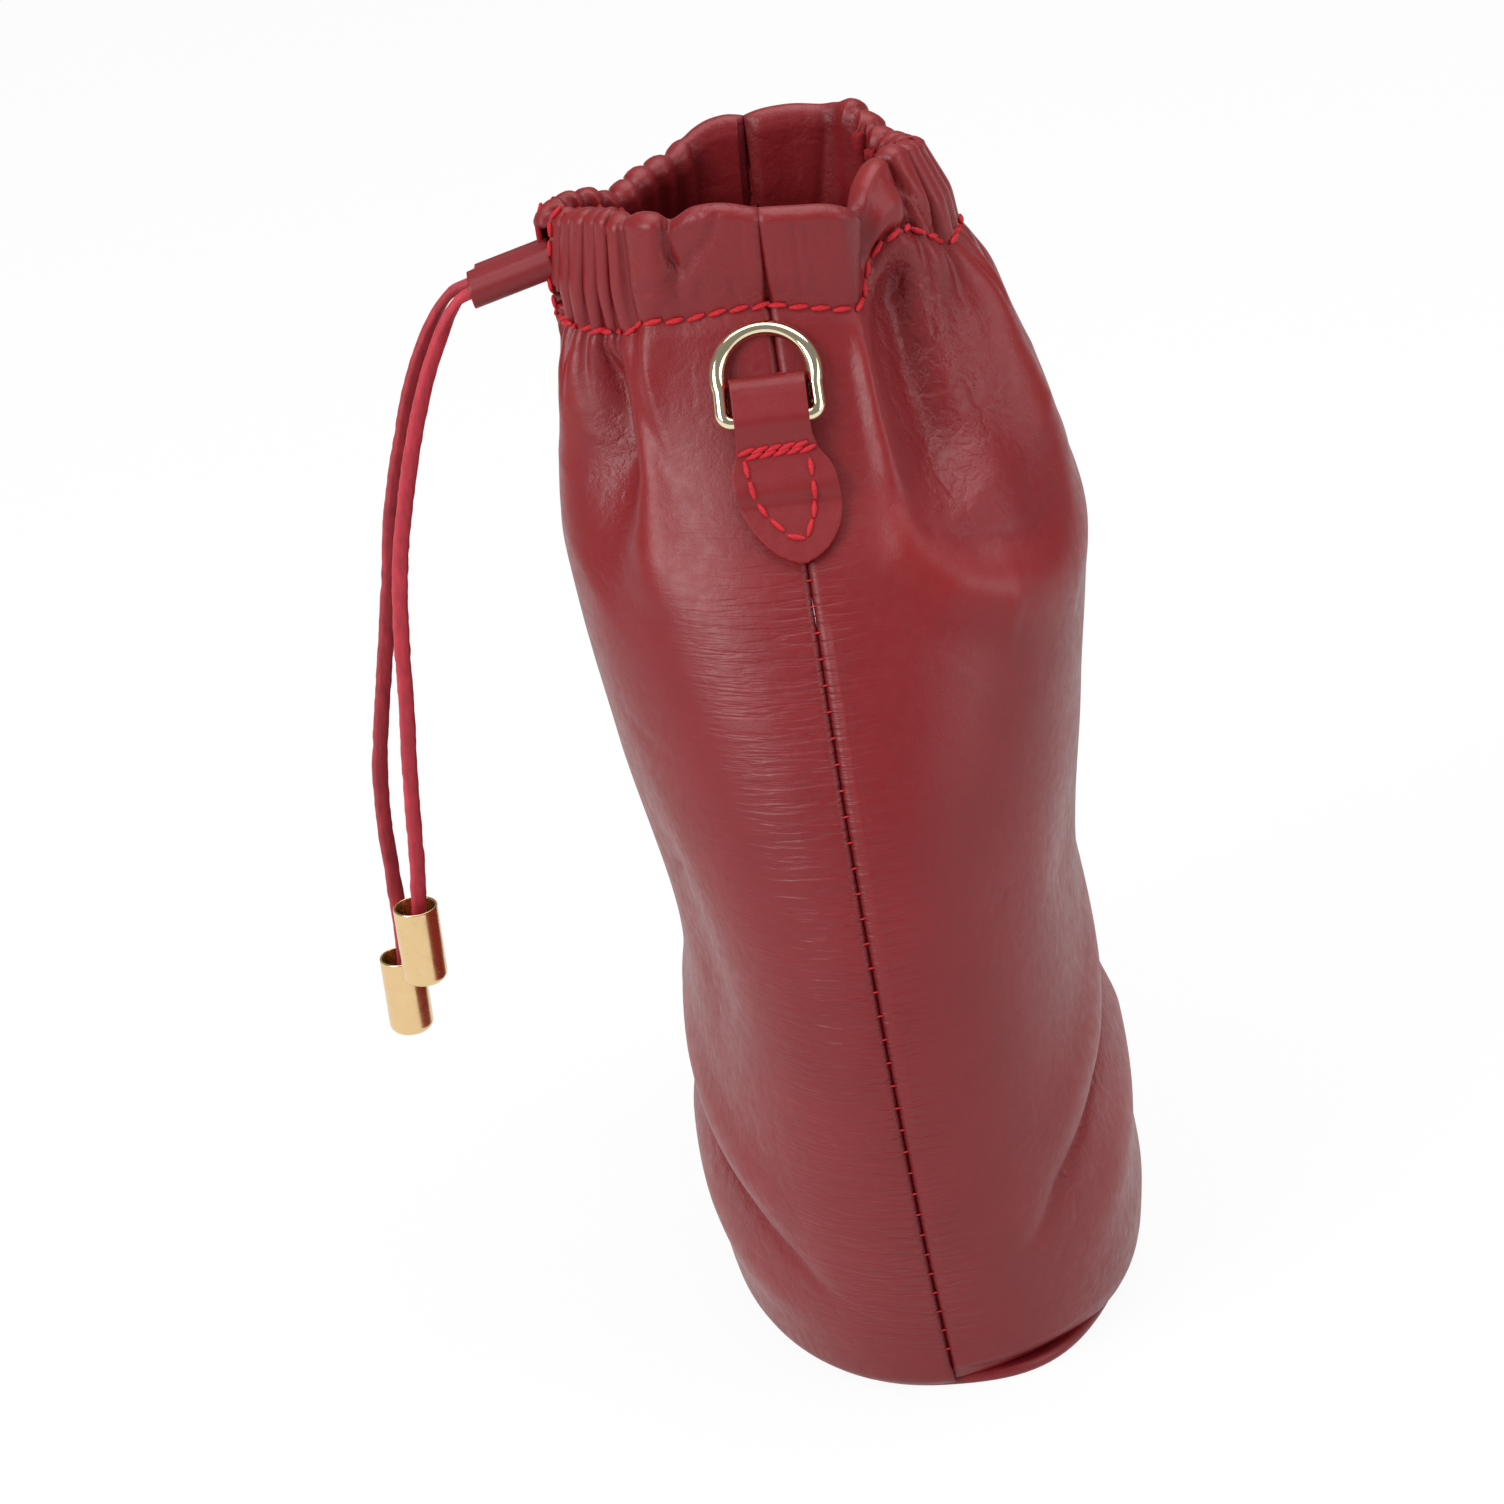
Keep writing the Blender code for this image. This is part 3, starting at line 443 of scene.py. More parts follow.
# %% Lace leather
def make_lace_leather(name, colour, shadow_colour):
    """Split leather lace: bright fibrous faces with pale flecks."""
    made, tree, shader = new_material(name)
    place = tree.nodes.new("ShaderNodeTexCoord").outputs["Object"]
    stretch = tree.nodes.new("ShaderNodeMapping")
    stretch.inputs["Scale"].default_value = (1.0, 1.0, 0.35)
    tree.links.new(place, stretch.inputs["Vector"])
    fibre = add_noise(tree, stretch.outputs["Vector"], 700.0, 5.0, 0.65)
    patch = add_noise(tree, place, 130.0, 3.0, 0.5)
    shade = add_mix(tree, add_range(tree, fibre, 0.32, 0.68), shadow_colour, colour)
    shade = add_mix(tree, add_range(tree, patch, 0.45, 0.75, 0.0, 0.5), shade, shadow_colour)
    tree.links.new(shade, shader.inputs["Base Color"])
    shader.inputs["Roughness"].default_value = 0.62
    shader.inputs["Sheen Weight"].default_value = 0.12
    shader.inputs["Sheen Roughness"].default_value = 0.4
    add_bump(tree, fibre, 0.14 * MM, shader)
    return made


near_lace_finish = make_lace_leather("bright red lace", (0.52, 0.026, 0.048), (0.33, 0.014, 0.028))
# The far end is a darker copy of the same lace: painted shade
far_lace_shaded_finish = make_lace_leather("lace with painted shade", (0.40, 0.020, 0.036), (0.23, 0.010, 0.018))
front_lace, front_line = sweep_lace(
    "lace_front_end", free_route(1.0, front_hang), near_lace_finish,
    ((0.0, 0.13, 0.20, 0.5, 0.8, 1.0), (0, 0, 60, 80, 70, 60)), 5,
)
back_lace, back_line = sweep_lace(
    "lace_back_end", free_route(-1.0, back_hang), far_lace_shaded_finish,
    ((0.0, 0.13, 0.20, 0.5, 0.8, 1.0), (0, 0, 55, 72, 65, 75)), 9,
)


# %% [markdown]
# ## The wall's surface
# Each half of the pouch is one sheet of leather from side seam to side seam. Below the
# channel its outline at each height is a rounded oval, as in the CAD model. Folds are
# then pressed into it one by one, each along a path of (distance from the side seam,
# height) in millimetres.

# %% Outline of the wall
HEIGHT = 222.0
FOOT = 3.8
CHANNEL_FOOT = HEIGHT - 20.5
GATHER_FOOT = CHANNEL_FOOT - 40.0
LEATHER = 1.2
BASE_WIDTH, BASE_DEPTH = 140.0, 84.0
BODY_WIDTH, WAIST_DEPTH = 152.0, 77.0
SHOULDER_WIDTH, SHOULDER_DEPTH = 110.0, 95.5
MOUTH_WIDTH, MOUTH_DEPTH = 49.0, 70.0
MOUTH_LEAN = -10.9
RIM_DROP = {-1: 6.5, 1: 3.5}


def wall_height(share):
    """Height at a share of the wall between the base seam and the channel."""
    return FOOT + share * (CHANNEL_FOOT - FOOT)


half_widths = [
    (FOOT, 0.489 * BASE_WIDTH), (wall_height(0.05), 0.501 * BASE_WIDTH),
    (wall_height(0.20), 0.492 * BODY_WIDTH), (wall_height(0.38), 0.500 * BODY_WIDTH),
    (wall_height(0.58), 0.461 * BODY_WIDTH), (wall_height(0.76), 0.500 * SHOULDER_WIDTH),
    (wall_height(0.885), 0.242 * (SHOULDER_WIDTH + MOUTH_WIDTH)),
    (CHANNEL_FOOT, 0.510 * MOUTH_WIDTH), (HEIGHT, 0.500 * MOUTH_WIDTH),
]
front_depths = [
    (FOOT, 0.470 * BASE_DEPTH), (wall_height(0.05), 0.476 * BASE_DEPTH),
    (wall_height(0.18), 0.500 * WAIST_DEPTH), (wall_height(0.38), 0.457 * WAIST_DEPTH),
    (wall_height(0.58), 0.421 * SHOULDER_DEPTH), (wall_height(0.77), 0.453 * SHOULDER_DEPTH),
    (wall_height(0.885), 0.237 * (SHOULDER_DEPTH + MOUTH_DEPTH)),
    (CHANNEL_FOOT, 0.535 * MOUTH_DEPTH), (HEIGHT, 0.500 * MOUTH_DEPTH),
]
back_depths = [
    (FOOT, 0.506 * BASE_DEPTH), (wall_height(0.05), 0.524 * BASE_DEPTH),
    (wall_height(0.18), 0.556 * WAIST_DEPTH), (wall_height(0.38), 0.545 * WAIST_DEPTH),
    (wall_height(0.58), 0.505 * SHOULDER_DEPTH), (wall_height(0.75), 0.547 * SHOULDER_DEPTH),
    (wall_height(0.885), 0.271 * (SHOULDER_DEPTH + MOUTH_DEPTH)),
    (CHANNEL_FOOT, 0.521 * MOUTH_DEPTH), (HEIGHT, 0.400 * MOUTH_DEPTH),
]
seam_leans = [
    (0.0, 0.0), (wall_height(0.18), 0.32 * MOUTH_LEAN), (wall_height(0.55), 0.75 * MOUTH_LEAN),
    (CHANNEL_FOOT, MOUTH_LEAN), (HEIGHT, MOUTH_LEAN),
]
squareness = {
    -1: [(FOOT, 2.15), (wall_height(0.50), 2.2), (wall_height(0.85), 2.35), (CHANNEL_FOOT, 2.1), (HEIGHT, 2.1)],
    1: [(FOOT, 2.15), (wall_height(0.50), 2.2), (wall_height(0.85), 2.5), (CHANNEL_FOOT, 2.8), (HEIGHT, 2.8)],
}


def wall_section(height, side, steps=400):
    """Outline of the wall's outer face at one height, from the +X seam to the -X seam."""
    turn = np.linspace(0.0, math.pi, steps + 1)
    power = 2.0 / read_stations(squareness[side], height)
    half_width = read_stations(half_widths, height)
    depth = read_stations(front_depths if side < 0 else back_depths, height)
    away = np.clip(np.sin(turn), 0.0, 1.0) ** power
    across = np.cos(turn)
    x = half_width * np.sign(across) * np.abs(across) ** power
    y = side * depth * away + read_stations(seam_leans, height)
    drop = RIM_DROP[side] * smooth(GATHER_FOOT, CHANNEL_FOOT, height) * away ** 2
    return np.stack([x, y, height - drop], 1)


print("outline at the channel", np.round(wall_section(CHANNEL_FOOT, -1)[200], 1))

# %% [markdown]
# ### The collapsed mouth
# The gathered mouth has no regular outline: the lace pulled it into a crooked bag of
# folds. Two curves round the mouth say where the stitch line and the top of the rim
# lie. Each has a few stations of (share of the leather from the +X seam, x, y, z), and
# they were placed against the real pouch.

# %% Curves of the mouth
stitch_curve = {
    -1: [
        (0.0, 27.4, -11.0, 202.8), (0.045, 27.2, -19.2, 202.5), (0.085, 26.6, -27.0, 201.6),
        (0.125, 25.2, -33.6, 201.5), (0.148, 21.0, -35.2, 199.2), (0.19, 18.6, -38.6, 198.0),
        (0.26, 15.4, -42.0, 197.6), (0.35, 10.6, -45.6, 197.4), (0.44, 5.0, -48.6, 197.6),
        (0.50, 0.0, -49.6, 197.8), (0.56, -5.0, -48.8, 198.0), (0.65, -12.0, -44.0, 199.0),
        (0.75, -18.0, -38.0, 200.0), (0.86, -24.4, -29.5, 201.5), (0.94, -27.0, -20.0, 202.5),
        (1.0, -27.4, -11.0, 202.8),
    ],
    1: [
        (0.0, 27.4, -11.0, 202.8), (0.04, 27.6, -3.4, 201.3), (0.078, 26.9, 4.0, 200.0),
        (0.095, 25.0, 5.8, 200.8), (0.115, 22.6, 7.2, 203.6), (0.14, 20.4, 9.4, 207.0),
        (0.18, 18.0, 12.6, 209.4), (0.23, 15.2, 15.8, 209.6), (0.29, 11.6, 19.2, 206.6),
        (0.35, 8.0, 22.2, 204.0), (0.42, 4.0, 24.4, 204.2), (0.50, 0.0, 25.4, 204.8),
        (0.60, -8.0, 24.0, 203.8), (0.70, -15.0, 20.0, 202.5), (0.80, -21.0, 14.0, 201.8),
        (0.90, -26.0, 5.0, 201.8), (0.96, -27.4, -3.4, 202.4), (1.0, -27.4, -11.0, 202.8),
    ],
}
rim_curve = {
    -1: [
        (0.0, 26.0, -11.2, 221.0), (0.035, 26.0, -17.4, 222.6), (0.062, 25.2, -22.6, 222.3),
        (0.088, 23.6, -26.4, 220.2), (0.108, 23.4, -29.0, 221.2), (0.13, 20.6, -32.2, 220.8),
        (0.15, 17.6, -33.6, 219.2), (0.20, 14.6, -36.0, 219.8), (0.28, 11.6, -38.6, 219.2),
        (0.36, 8.2, -41.4, 218.5), (0.43, 5.2, -43.6, 217.2), (0.485, 2.8, -45.4, 217.6),
        (0.515, -1.2, -48.2, 215.4), (0.56, -3.2, -46.4, 216.9), (0.62, -4.4, -43.0, 217.4),
        (0.68, -6.0, -38.8, 216.4), (0.73, -7.4, -36.0, 215.0), (0.78, -10.0, -32.8, 216.2),
        (0.825, -13.6, -29.6, 217.2), (0.86, -16.6, -26.6, 217.6), (0.888, -19.4, -24.0, 218.2),
        (0.915, -22.4, -21.8, 219.8), (0.945, -24.6, -18.2, 221.4), (0.972, -25.0, -14.4, 222.1),
        (1.0, -25.0, -10.9, 221.7),
    ],
    1: [
        (0.0, 26.0, -11.2, 221.0), (0.035, 26.0, -4.2, 220.5), (0.062, 26.0, 0.8, 220.2),
        (0.082, 25.0, 4.4, 219.0), (0.100, 22.6, 5.8, 216.6), (0.125, 18.6, 5.6, 216.4),
        (0.16, 14.4, 6.6, 218.2), (0.20, 10.4, 8.8, 220.2), (0.25, 6.6, 11.4, 221.4),
        (0.32, 3.4, 14.0, 221.4), (0.40, 1.4, 15.8, 220.6), (0.50, -2.0, 16.6, 220.2),
        (0.60, -7.0, 15.0, 219.4), (0.70, -12.0, 13.2, 218.8), (0.79, -16.4, 11.2, 220.8),
        (0.86, -20.2, 9.2, 223.0), (0.90, -23.0, 6.2, 223.0), (0.93, -24.2, 3.4, 222.3),
        (0.965, -25.0, -2.0, 222.7), (0.985, -25.0, -7.0, 222.5), (1.0, -25.0, -10.9, 221.7),
    ],
}


def read_curve(stations, shares):
    """Points of a mouth curve at shares of the leather."""
    return np.stack([
        read_stations([(row[0], row[k]) for row in stations], shares) for k in (1, 2, 3)
    ], 1)


# %% [markdown]
# ### Folds
# A fold is a ridge or a hollow along a path. Its cross-section is a soft bell, or a
# sharp crease where the leather is pinched. Those near the camera were placed one by
# one to match the real pouch, and the far half carries the same ones a little softer.

# %% Fold tools
def press_fold(along, height, path, width, depth, sharp=False):
    """Push of one fold at each point. The path has (distance along, height) points."""
    path = np.array(path, float)
    widths = np.broadcast_to(np.array(width, float), len(path))
    depths = np.broadcast_to(np.array(depth, float), len(path))
    nearest = np.full(along.shape, 1e9)
    push = np.zeros(along.shape)
    for i in range(len(path) - 1):
        start, end = path[i], path[i + 1]
        run = end - start
        t = ((along - start[0]) * run[0] + (height - start[1]) * run[1]) / (run @ run)
        t = np.clip(t, 0.0, 1.0)
        off = np.hypot(along - start[0] - run[0] * t, height - start[1] - run[1] * t)
        scaled = off / (widths[i] + (widths[i + 1] - widths[i]) * t)
        bell = np.exp(-scaled) if sharp else np.exp(-scaled ** 2)
        value = (depths[i] + (depths[i + 1] - depths[i]) * t) * bell
        closer = off < nearest
        push = np.where(closer, value, push)
        nearest = np.minimum(nearest, off)
    return push


# Each fold: side of the pouch (-1 front, 1 back), path, width, depth, sharp
wall_folds = [
    # Ridges that bound the flat strip with the tab
    (-1, [(24.5, 204), (26, 188), (27.5, 176), (30, 164), (33, 154)], [2.6, 3.2, 4.2, 6, 7], [1.6, 2.4, 2.4, 1.6, 0.0], False),
    (1, [(14.6, 203), (15.6, 190), (17, 178), (18.6, 167), (21, 156)], [1.9, 2.1, 2.6, 4, 6], [2.2, 3.0, 3.0, 2.0, 0.0], False),
    # Deep folds beside the strip
    (-1, [(30, 204), (32, 190), (35, 178), (42, 166), (50, 154)], [3.0, 4.2, 6, 8, 10], [-3.0, -5.6, -6.2, -3.8, 0.0], False),
    (1, [(21, 203), (23.5, 194), (27, 184), (30, 174), (33, 165)], [4.0, 5.6, 7.5, 8.5, 7.0], [-7.0, -9.0, -10.0, -8.0, -2.0], False),
    (1, [(38, 190), (43, 178), (50, 168)], [7, 9, 8], [-3.0, -4.2, -2.0], False),
    # Shelf where the deep fold at the back ends
    (1, [(19, 163), (26, 157), (38, 152), (56, 149), (70, 150)], [5, 6, 7, 8, 8], [1.4, 3.0, 3.4, 2.6, 0.8], False),
    (1, [(17, 172), (23, 164), (32, 160), (46, 158), (60, 160)], [2.0, 2.2, 2.2, 2.4, 3.0], [-0.4, -1.4, -1.6, -1.0, 0.0], True),
    # Ridge behind the deep fold
    (1, [(40, 204), (49, 190), (58, 175), (68, 160)], [4.5, 6, 8, 11], [2.6, 4.0, 4.0, 1.2], False),
    (1, [(62, 204), (66, 190), (74, 176)], [5, 7, 9], [-2.4, -3.0, -0.6], False),
    # Small vertical crease below the shelf
    (1, [(36.8, 158), (36, 149), (35.2, 139)], [0.9, 0.7, 0.9], [0.0, 0.6, 0.0], False),
    # Fold in front of the deep fold at the front
    (-1, [(39, 202), (45, 188), (55, 174), (66, 160)], [3.5, 5, 8, 10], [1.8, 3.0, 2.6, 0.6], False),
    (-1, [(48, 200), (55, 187), (64, 180)], [2.5, 3.5, 5], [-2.0, -2.6, 0.0], False),
    (-1, [(70, 196), (78, 184), (92, 176)], [4, 6, 8], [1.2, 2.4, 1.8], False),
    (-1, [(74, 178), (92, 171)], [5, 6], [-1.0, -2.6], False),
    # Foot: the wall sags over a crease above the base
    (-1, [(97, 45), (84, 42), (72, 39), (60, 35), (45, 32), (30, 26), (18, 20)], [3.2, 3.0, 2.8, 2.6, 2.6, 2.4, 2.0], [-2.2, -2.6, -3.0, -3.4, -3.2, -1.8, 0.0], True),
    (-1, [(96, 54), (76, 51), (56, 46), (42, 41), (28, 34)], [8, 8, 7, 7, 7], [1.2, 1.8, 2.0, 1.6, 0.0], False),
    (-1, [(90, 28), (66, 23), (48, 18), (30, 13)], [9, 8, 7, 6], [1.6, 2.0, 1.6, 0.3], False),
    (1, [(100, 60), (86, 55), (72, 50), (52, 45), (34, 37), (18, 27)], [3.4, 3.2, 3.0, 2.8, 2.6, 2.0], [-2.6, -3.2, -3.4, -3.6, -2.6, 0.0], True),
    (1, [(98, 70), (76, 62), (58, 56), (42, 50), (28, 42)], [9, 9, 8, 8, 8], [1.2, 1.8, 2.0, 1.6, 0.0], False),
    (1, [(96, 40), (72, 34), (52, 28), (34, 20)], [10, 9, 8, 7], [2.6, 2.4, 2.0, 0.4], False),
    # Long soft dents of the waist
    (-1, [(60, 120), (52, 100), (48, 78), (52, 60)], [12, 12, 11, 10], [-0.3, -1.6, -1.8, -0.2], False),
    (1, [(62, 112), (60, 92), (66, 75)], [14, 14, 12], [-0.3, -1.5, -0.3], False),
    (1, [(24, 120), (30, 100), (38, 84)], [9, 10, 9], [-0.1, -0.8, -0.1], False),
    (-1, [(44, 108), (52, 101), (60, 98)], [1.5, 1.2, 1.5], [0.0, -0.6, 0.0], True),
    (-1, [(30, 128), (44, 130), (58, 134)], [1.6, 1.4, 1.6], [0.0, -0.4, 0.0], True),
    # Raised seam allowance
    (1, [(2.8, 24), (2.8, 152)], 0.8, 0.30, False),
]
# Pleats of the channel: side, share of the leather, half width, stand
channel_pleats = [
    (-1, 0.025, 0.060, 0.45), (-1, 0.115, 0.022, 0.80), (-1, 0.168, 0.021, 1.0),
    (-1, 0.222, 0.023, 1.0), (-1, 0.278, 0.024, 0.95), (-1, 0.335, 0.024, 1.0),
    (-1, 0.392, 0.023, 0.95), (-1, 0.450, 0.026, 1.0), (-1, 0.545, 0.028, 1.0),
    (-1, 0.605, 0.024, 0.9), (-1, 0.662, 0.024, 1.0), (-1, 0.715, 0.022, 0.9),
    (-1, 0.765, 0.022, 1.0), (-1, 0.812, 0.020, 1.0), (-1, 0.855, 0.018, 0.95),
    (-1, 0.895, 0.016, 0.75), (-1, 0.965, 0.050, 0.45),
    (1, 0.025, 0.052, 0.45), (1, 0.185, 0.050, 1.35), (1, 0.290, 0.034, 1.1),
    (1, 0.368, 0.030, 1.1), (1, 0.440, 0.030, 1.0), (1, 0.510, 0.030, 1.1),
    (1, 0.580, 0.030, 1.0), (1, 0.650, 0.030, 1.1), (1, 0.722, 0.030, 1.0),
    (1, 0.795, 0.032, 1.15), (1, 0.862, 0.024, 1.0), (1, 0.965, 0.055, 0.45),
]
# Creases of the channel: side, path of (share of the leather, share of the height), width, depth
channel_creases = [
    (-1, [(0.090, 1.10), (0.098, 0.86), (0.094, 0.66), (0.084, 0.52)], 0.9, -1.5),
    (-1, [(0.040, 0.95), (0.046, 0.72), (0.070, 0.50), (0.098, 0.34), (0.120, 0.30)], 0.7, -0.7),
    (-1, [(0.066, 0.62), (0.076, 0.44), (0.086, 0.24)], 0.6, -0.5),
    (-1, [(0.060, 0.30), (0.064, 0.12)], 0.6, -0.45), (-1, [(0.034, 0.26), (0.030, 0.08)], 0.6, -0.4),
    (-1, [(0.100, 0.18), (0.106, 0.05)], 0.6, -0.5), (-1, [(0.018, 0.9), (0.020, 0.5)], 0.5, -0.25),
    (1, [(0.030, 0.86), (0.032, 0.40), (0.030, 0.08)], 0.45, -0.40),
    (1, [(0.040, 0.80), (0.043, 0.45), (0.046, 0.10)], 0.45, -0.45),
    (1, [(0.050, 0.70), (0.052, 0.30)], 0.45, -0.30), (1, [(0.012, 0.6), (0.014, 0.1)], 0.45, -0.25),
    (1, [(0.072, 1.0), (0.074, 0.5), (0.078, 0.1)], 0.9, 0.55),
    (1, [(0.110, 1.15), (0.112, 0.7), (0.108, 0.30)], 1.6, -2.6),
    (1, [(0.150, 0.08), (0.20, 0.06), (0.26, 0.05)], 1.4, -1.2),
    (1, [(0.240, 1.05), (0.255, 0.6), (0.30, 0.1)], 1.2, -1.2),
    (1, [(0.215, 0.75), (0.235, 0.45), (0.27, 0.2)], 0.8, -0.5),
]
FULL_WIDTH = 183.0
BAND_HEIGHT = 20.0


def pleat_shape(side, shares, spread=1.0):
    """Height of the channel's pleats, 0 in a pinched valley and about 1 on a pleat."""
    shape = np.zeros(shares.shape)
    for pleat_side, place, half, stand in channel_pleats:
        if pleat_side == side:
            shape = np.maximum(shape, stand * np.exp(-np.abs((shares - place) / (half * spread)) ** 3.2))
    return shape


# %% [markdown]
# ### The two panels
# Every row of the wall is read at an even spread of leather and pushed out or in by the
# folds. Near the stitch line it is drawn onto the mouth's own curve. Above it the sheet
# swells round the lace, folds over at the rim and comes back down inside.

# %% Rows and columns
COLUMNS = 196
STRIP = {-1: 23.0, 1: 14.5}
SEAM_FLANGE = (4.5, 2.2)


def column_shares():
    """Shares of the leather at the columns, closer together at the seams and the slot."""
    even = np.linspace(0.0, 1.0, COLUMNS + 1)
    return even - 0.5 * np.sin(4.0 * math.pi * even) / (4.0 * math.pi)


def gathered(side, share, mouth_length):
    """Where a share of the leather lies along the gathered mouth."""
    own, lies = STRIP[side] / FULL_WIDTH, STRIP[side] / mouth_length
    inside = (share - own) / (1.0 - 2.0 * own)
    middle = lies + inside * (1.0 - 2.0 * lies)
    near = share * lies / own
    far = 1.0 - (1.0 - share) * lies / own
    return np.where(share < own, near, np.where(share > 1.0 - own, far, middle))


def seam_roll(distance):
    """How far the leather turns in beside a side seam."""
    return 1.05 * np.exp(-((distance / 0.62) ** 1.5))


def paint_masks(side, seam, height, folds, pleats, band):
    """Masks of one row: painted highlight on ridges, painted shade at the seam and in pleat valleys, pucker and
    crumple.
    """
    # Painted shade: darker in the crease beside the side seam
    seam_and_valley_shade = 0.55 * np.exp(-((seam / 0.7) ** 2))
    # Painted highlight: lighter on fold ridges and pleat tops
    ridge_highlight = np.clip(folds * 0.12, 0.0, 0.5) + np.clip(pleats * 0.22, 0.0, 0.3)
    run = smooth(4.0, 20.0, height) * (1.0 - smooth(150.0, 178.0, height))
    reach = 19.0 if side < 0 else 8.0
    pucker = run * np.exp(-((seam / reach) ** 2)) * (1.0 if side < 0 else 0.8)
    deep = np.clip(-folds / 5.0, 0.0, 1.0)
    foot = (1.0 - smooth(52.0, 66.0, height)) * smooth(14.0, 34.0, seam)
    gather = smooth(GATHER_FOOT - 5.0, CHANNEL_FOOT, height)
    crumple = 0.10 + 0.75 * deep + 0.30 * foot * np.clip(0.6 - folds * 0.3, 0.0, 1.0) + 0.14 * gather
    if band:
        valley = 1.0 - np.clip(pleats, 0.0, 1.0)
        crumple = 0.22 + 0.25 * valley
        # Painted shade in the valleys between the channel's pleats
        seam_and_valley_shade = seam_and_valley_shade + 0.35 * valley * smooth(9.0, 24.0, seam)
    return np.stack([ridge_highlight, np.clip(seam_and_valley_shade, 0, 1), pucker, np.clip(crumple, 0, 1)], 1)


# %% Wall below the channel
FOOT_ROWS = [(0.6, 7.0), (0.35, 5.2), (0.3, 3.8), (0.5, 2.6), (1.0, 1.6), (1.7, 0.85), (2.6, 0.35), (3.8, 0.08)]
wall_heights = np.concatenate([np.arange(5.2, GATHER_FOOT, 1.22), np.linspace(GATHER_FOOT, CHANNEL_FOOT, 42)])


def wall_row(side, shares, height, mouth_length):
    """One level row before folds: points, outward normals and distance to the seam."""
    outline = wall_section(height, side)
    steps = np.linalg.norm(np.diff(outline, axis=0), axis=1)
    length = np.concatenate([[0.0], np.cumsum(steps)])
    pull = smooth(GATHER_FOOT, CHANNEL_FOOT, height)
    at = (shares + (gathered(side, shares, mouth_length) - shares) * pull) * length[-1]
    row = np.stack([np.interp(at, length, outline[:, k]) for k in range(3)], 1)
    tangent = np.gradient(row[:, :2], axis=0)
    tangent /= np.linalg.norm(tangent, axis=1)[:, None]
    normal = np.stack([tangent[:, 1] * side, -tangent[:, 0] * side, np.zeros(len(row))], 1)
    return row, normal, np.minimum(at, length[-1] - at), at > length[-1] / 2.0


def wall_rows(side, shares):
    """Rows of the wall from the foot to the stitch line, with their masks."""
    mouth = wall_section(CHANNEL_FOOT, side)
    mouth_length = np.linalg.norm(np.diff(mouth, axis=0), axis=1).sum()
    stitch = read_curve(stitch_curve[side], shares)
    top, _, _, _ = wall_row(side, shares, CHANNEL_FOOT, mouth_length)
    places, flat, masks = [], [], []
    base_lift = 2.0 * np.exp(-((shares - 0.10) / 0.10) ** 2) if side > 0 else np.zeros(len(shares))
    for z, inset in FOOT_ROWS:
        row, normal, seam, _ = wall_row(side, shares, FOOT, mouth_length)
        row = row + normal * (-(inset + 0.35 * base_lift))[:, None]
        row[:, 2] = z + base_lift * smooth(7.0, 0.0, inset)
        places.append(row)
        flat.append(np.stack([seam, np.full(len(row), z)], 1))
        masks.append(paint_masks(side, seam, np.full(len(row), z), np.zeros(len(row)), np.zeros(len(row)), False))
    pleats = pleat_shape(side, shares)
    wide_pleats = pleat_shape(side, shares, 1.5)
    for height in wall_heights:
        row, normal, seam, far = wall_row(side, shares, height, mouth_length)
        level = np.full(len(row), height)
        folds = np.zeros(len(row))
        for fold_side, path, width, depth, sharp in wall_folds:
            if fold_side == side:
                folds += press_fold(seam, level, path, width, depth, sharp) * np.where(far, 0.8, 1.0)
        # The pleats run on below the stitch line and open out
        fade = smooth(CHANNEL_FOOT - 26.0, CHANNEL_FOOT, height) ** 1.6
        share = smooth(CHANNEL_FOOT - 16.0, CHANNEL_FOOT, height)
        opened = (wide_pleats * (1.0 - share) + pleats * share - 0.6) * 2.2 * fade
        opened = opened * smooth(STRIP[side] - 3.0, STRIP[side] + 5.0, seam)
        groove = 0.9 * math.exp(-(((CHANNEL_FOOT - height) / 1.4) ** 2))
        settle = smooth(5.0, 16.0, height)
        near_mouth = smooth(GATHER_FOOT + 6.0, CHANNEL_FOOT, height) ** 1.5
        release = 1.0 - 0.75 * smooth(CHANNEL_FOOT - 9.0, CHANNEL_FOOT, height)
        push = folds * settle * release + opened - groove - seam_roll(seam)
        row = row + (stitch - top) * near_mouth + normal * push[:, None]
        places.append(row)
        flat.append(np.stack([seam, level], 1))
        masks.append(paint_masks(side, seam, level, folds, np.zeros(len(row)), False))
    return places, flat, masks


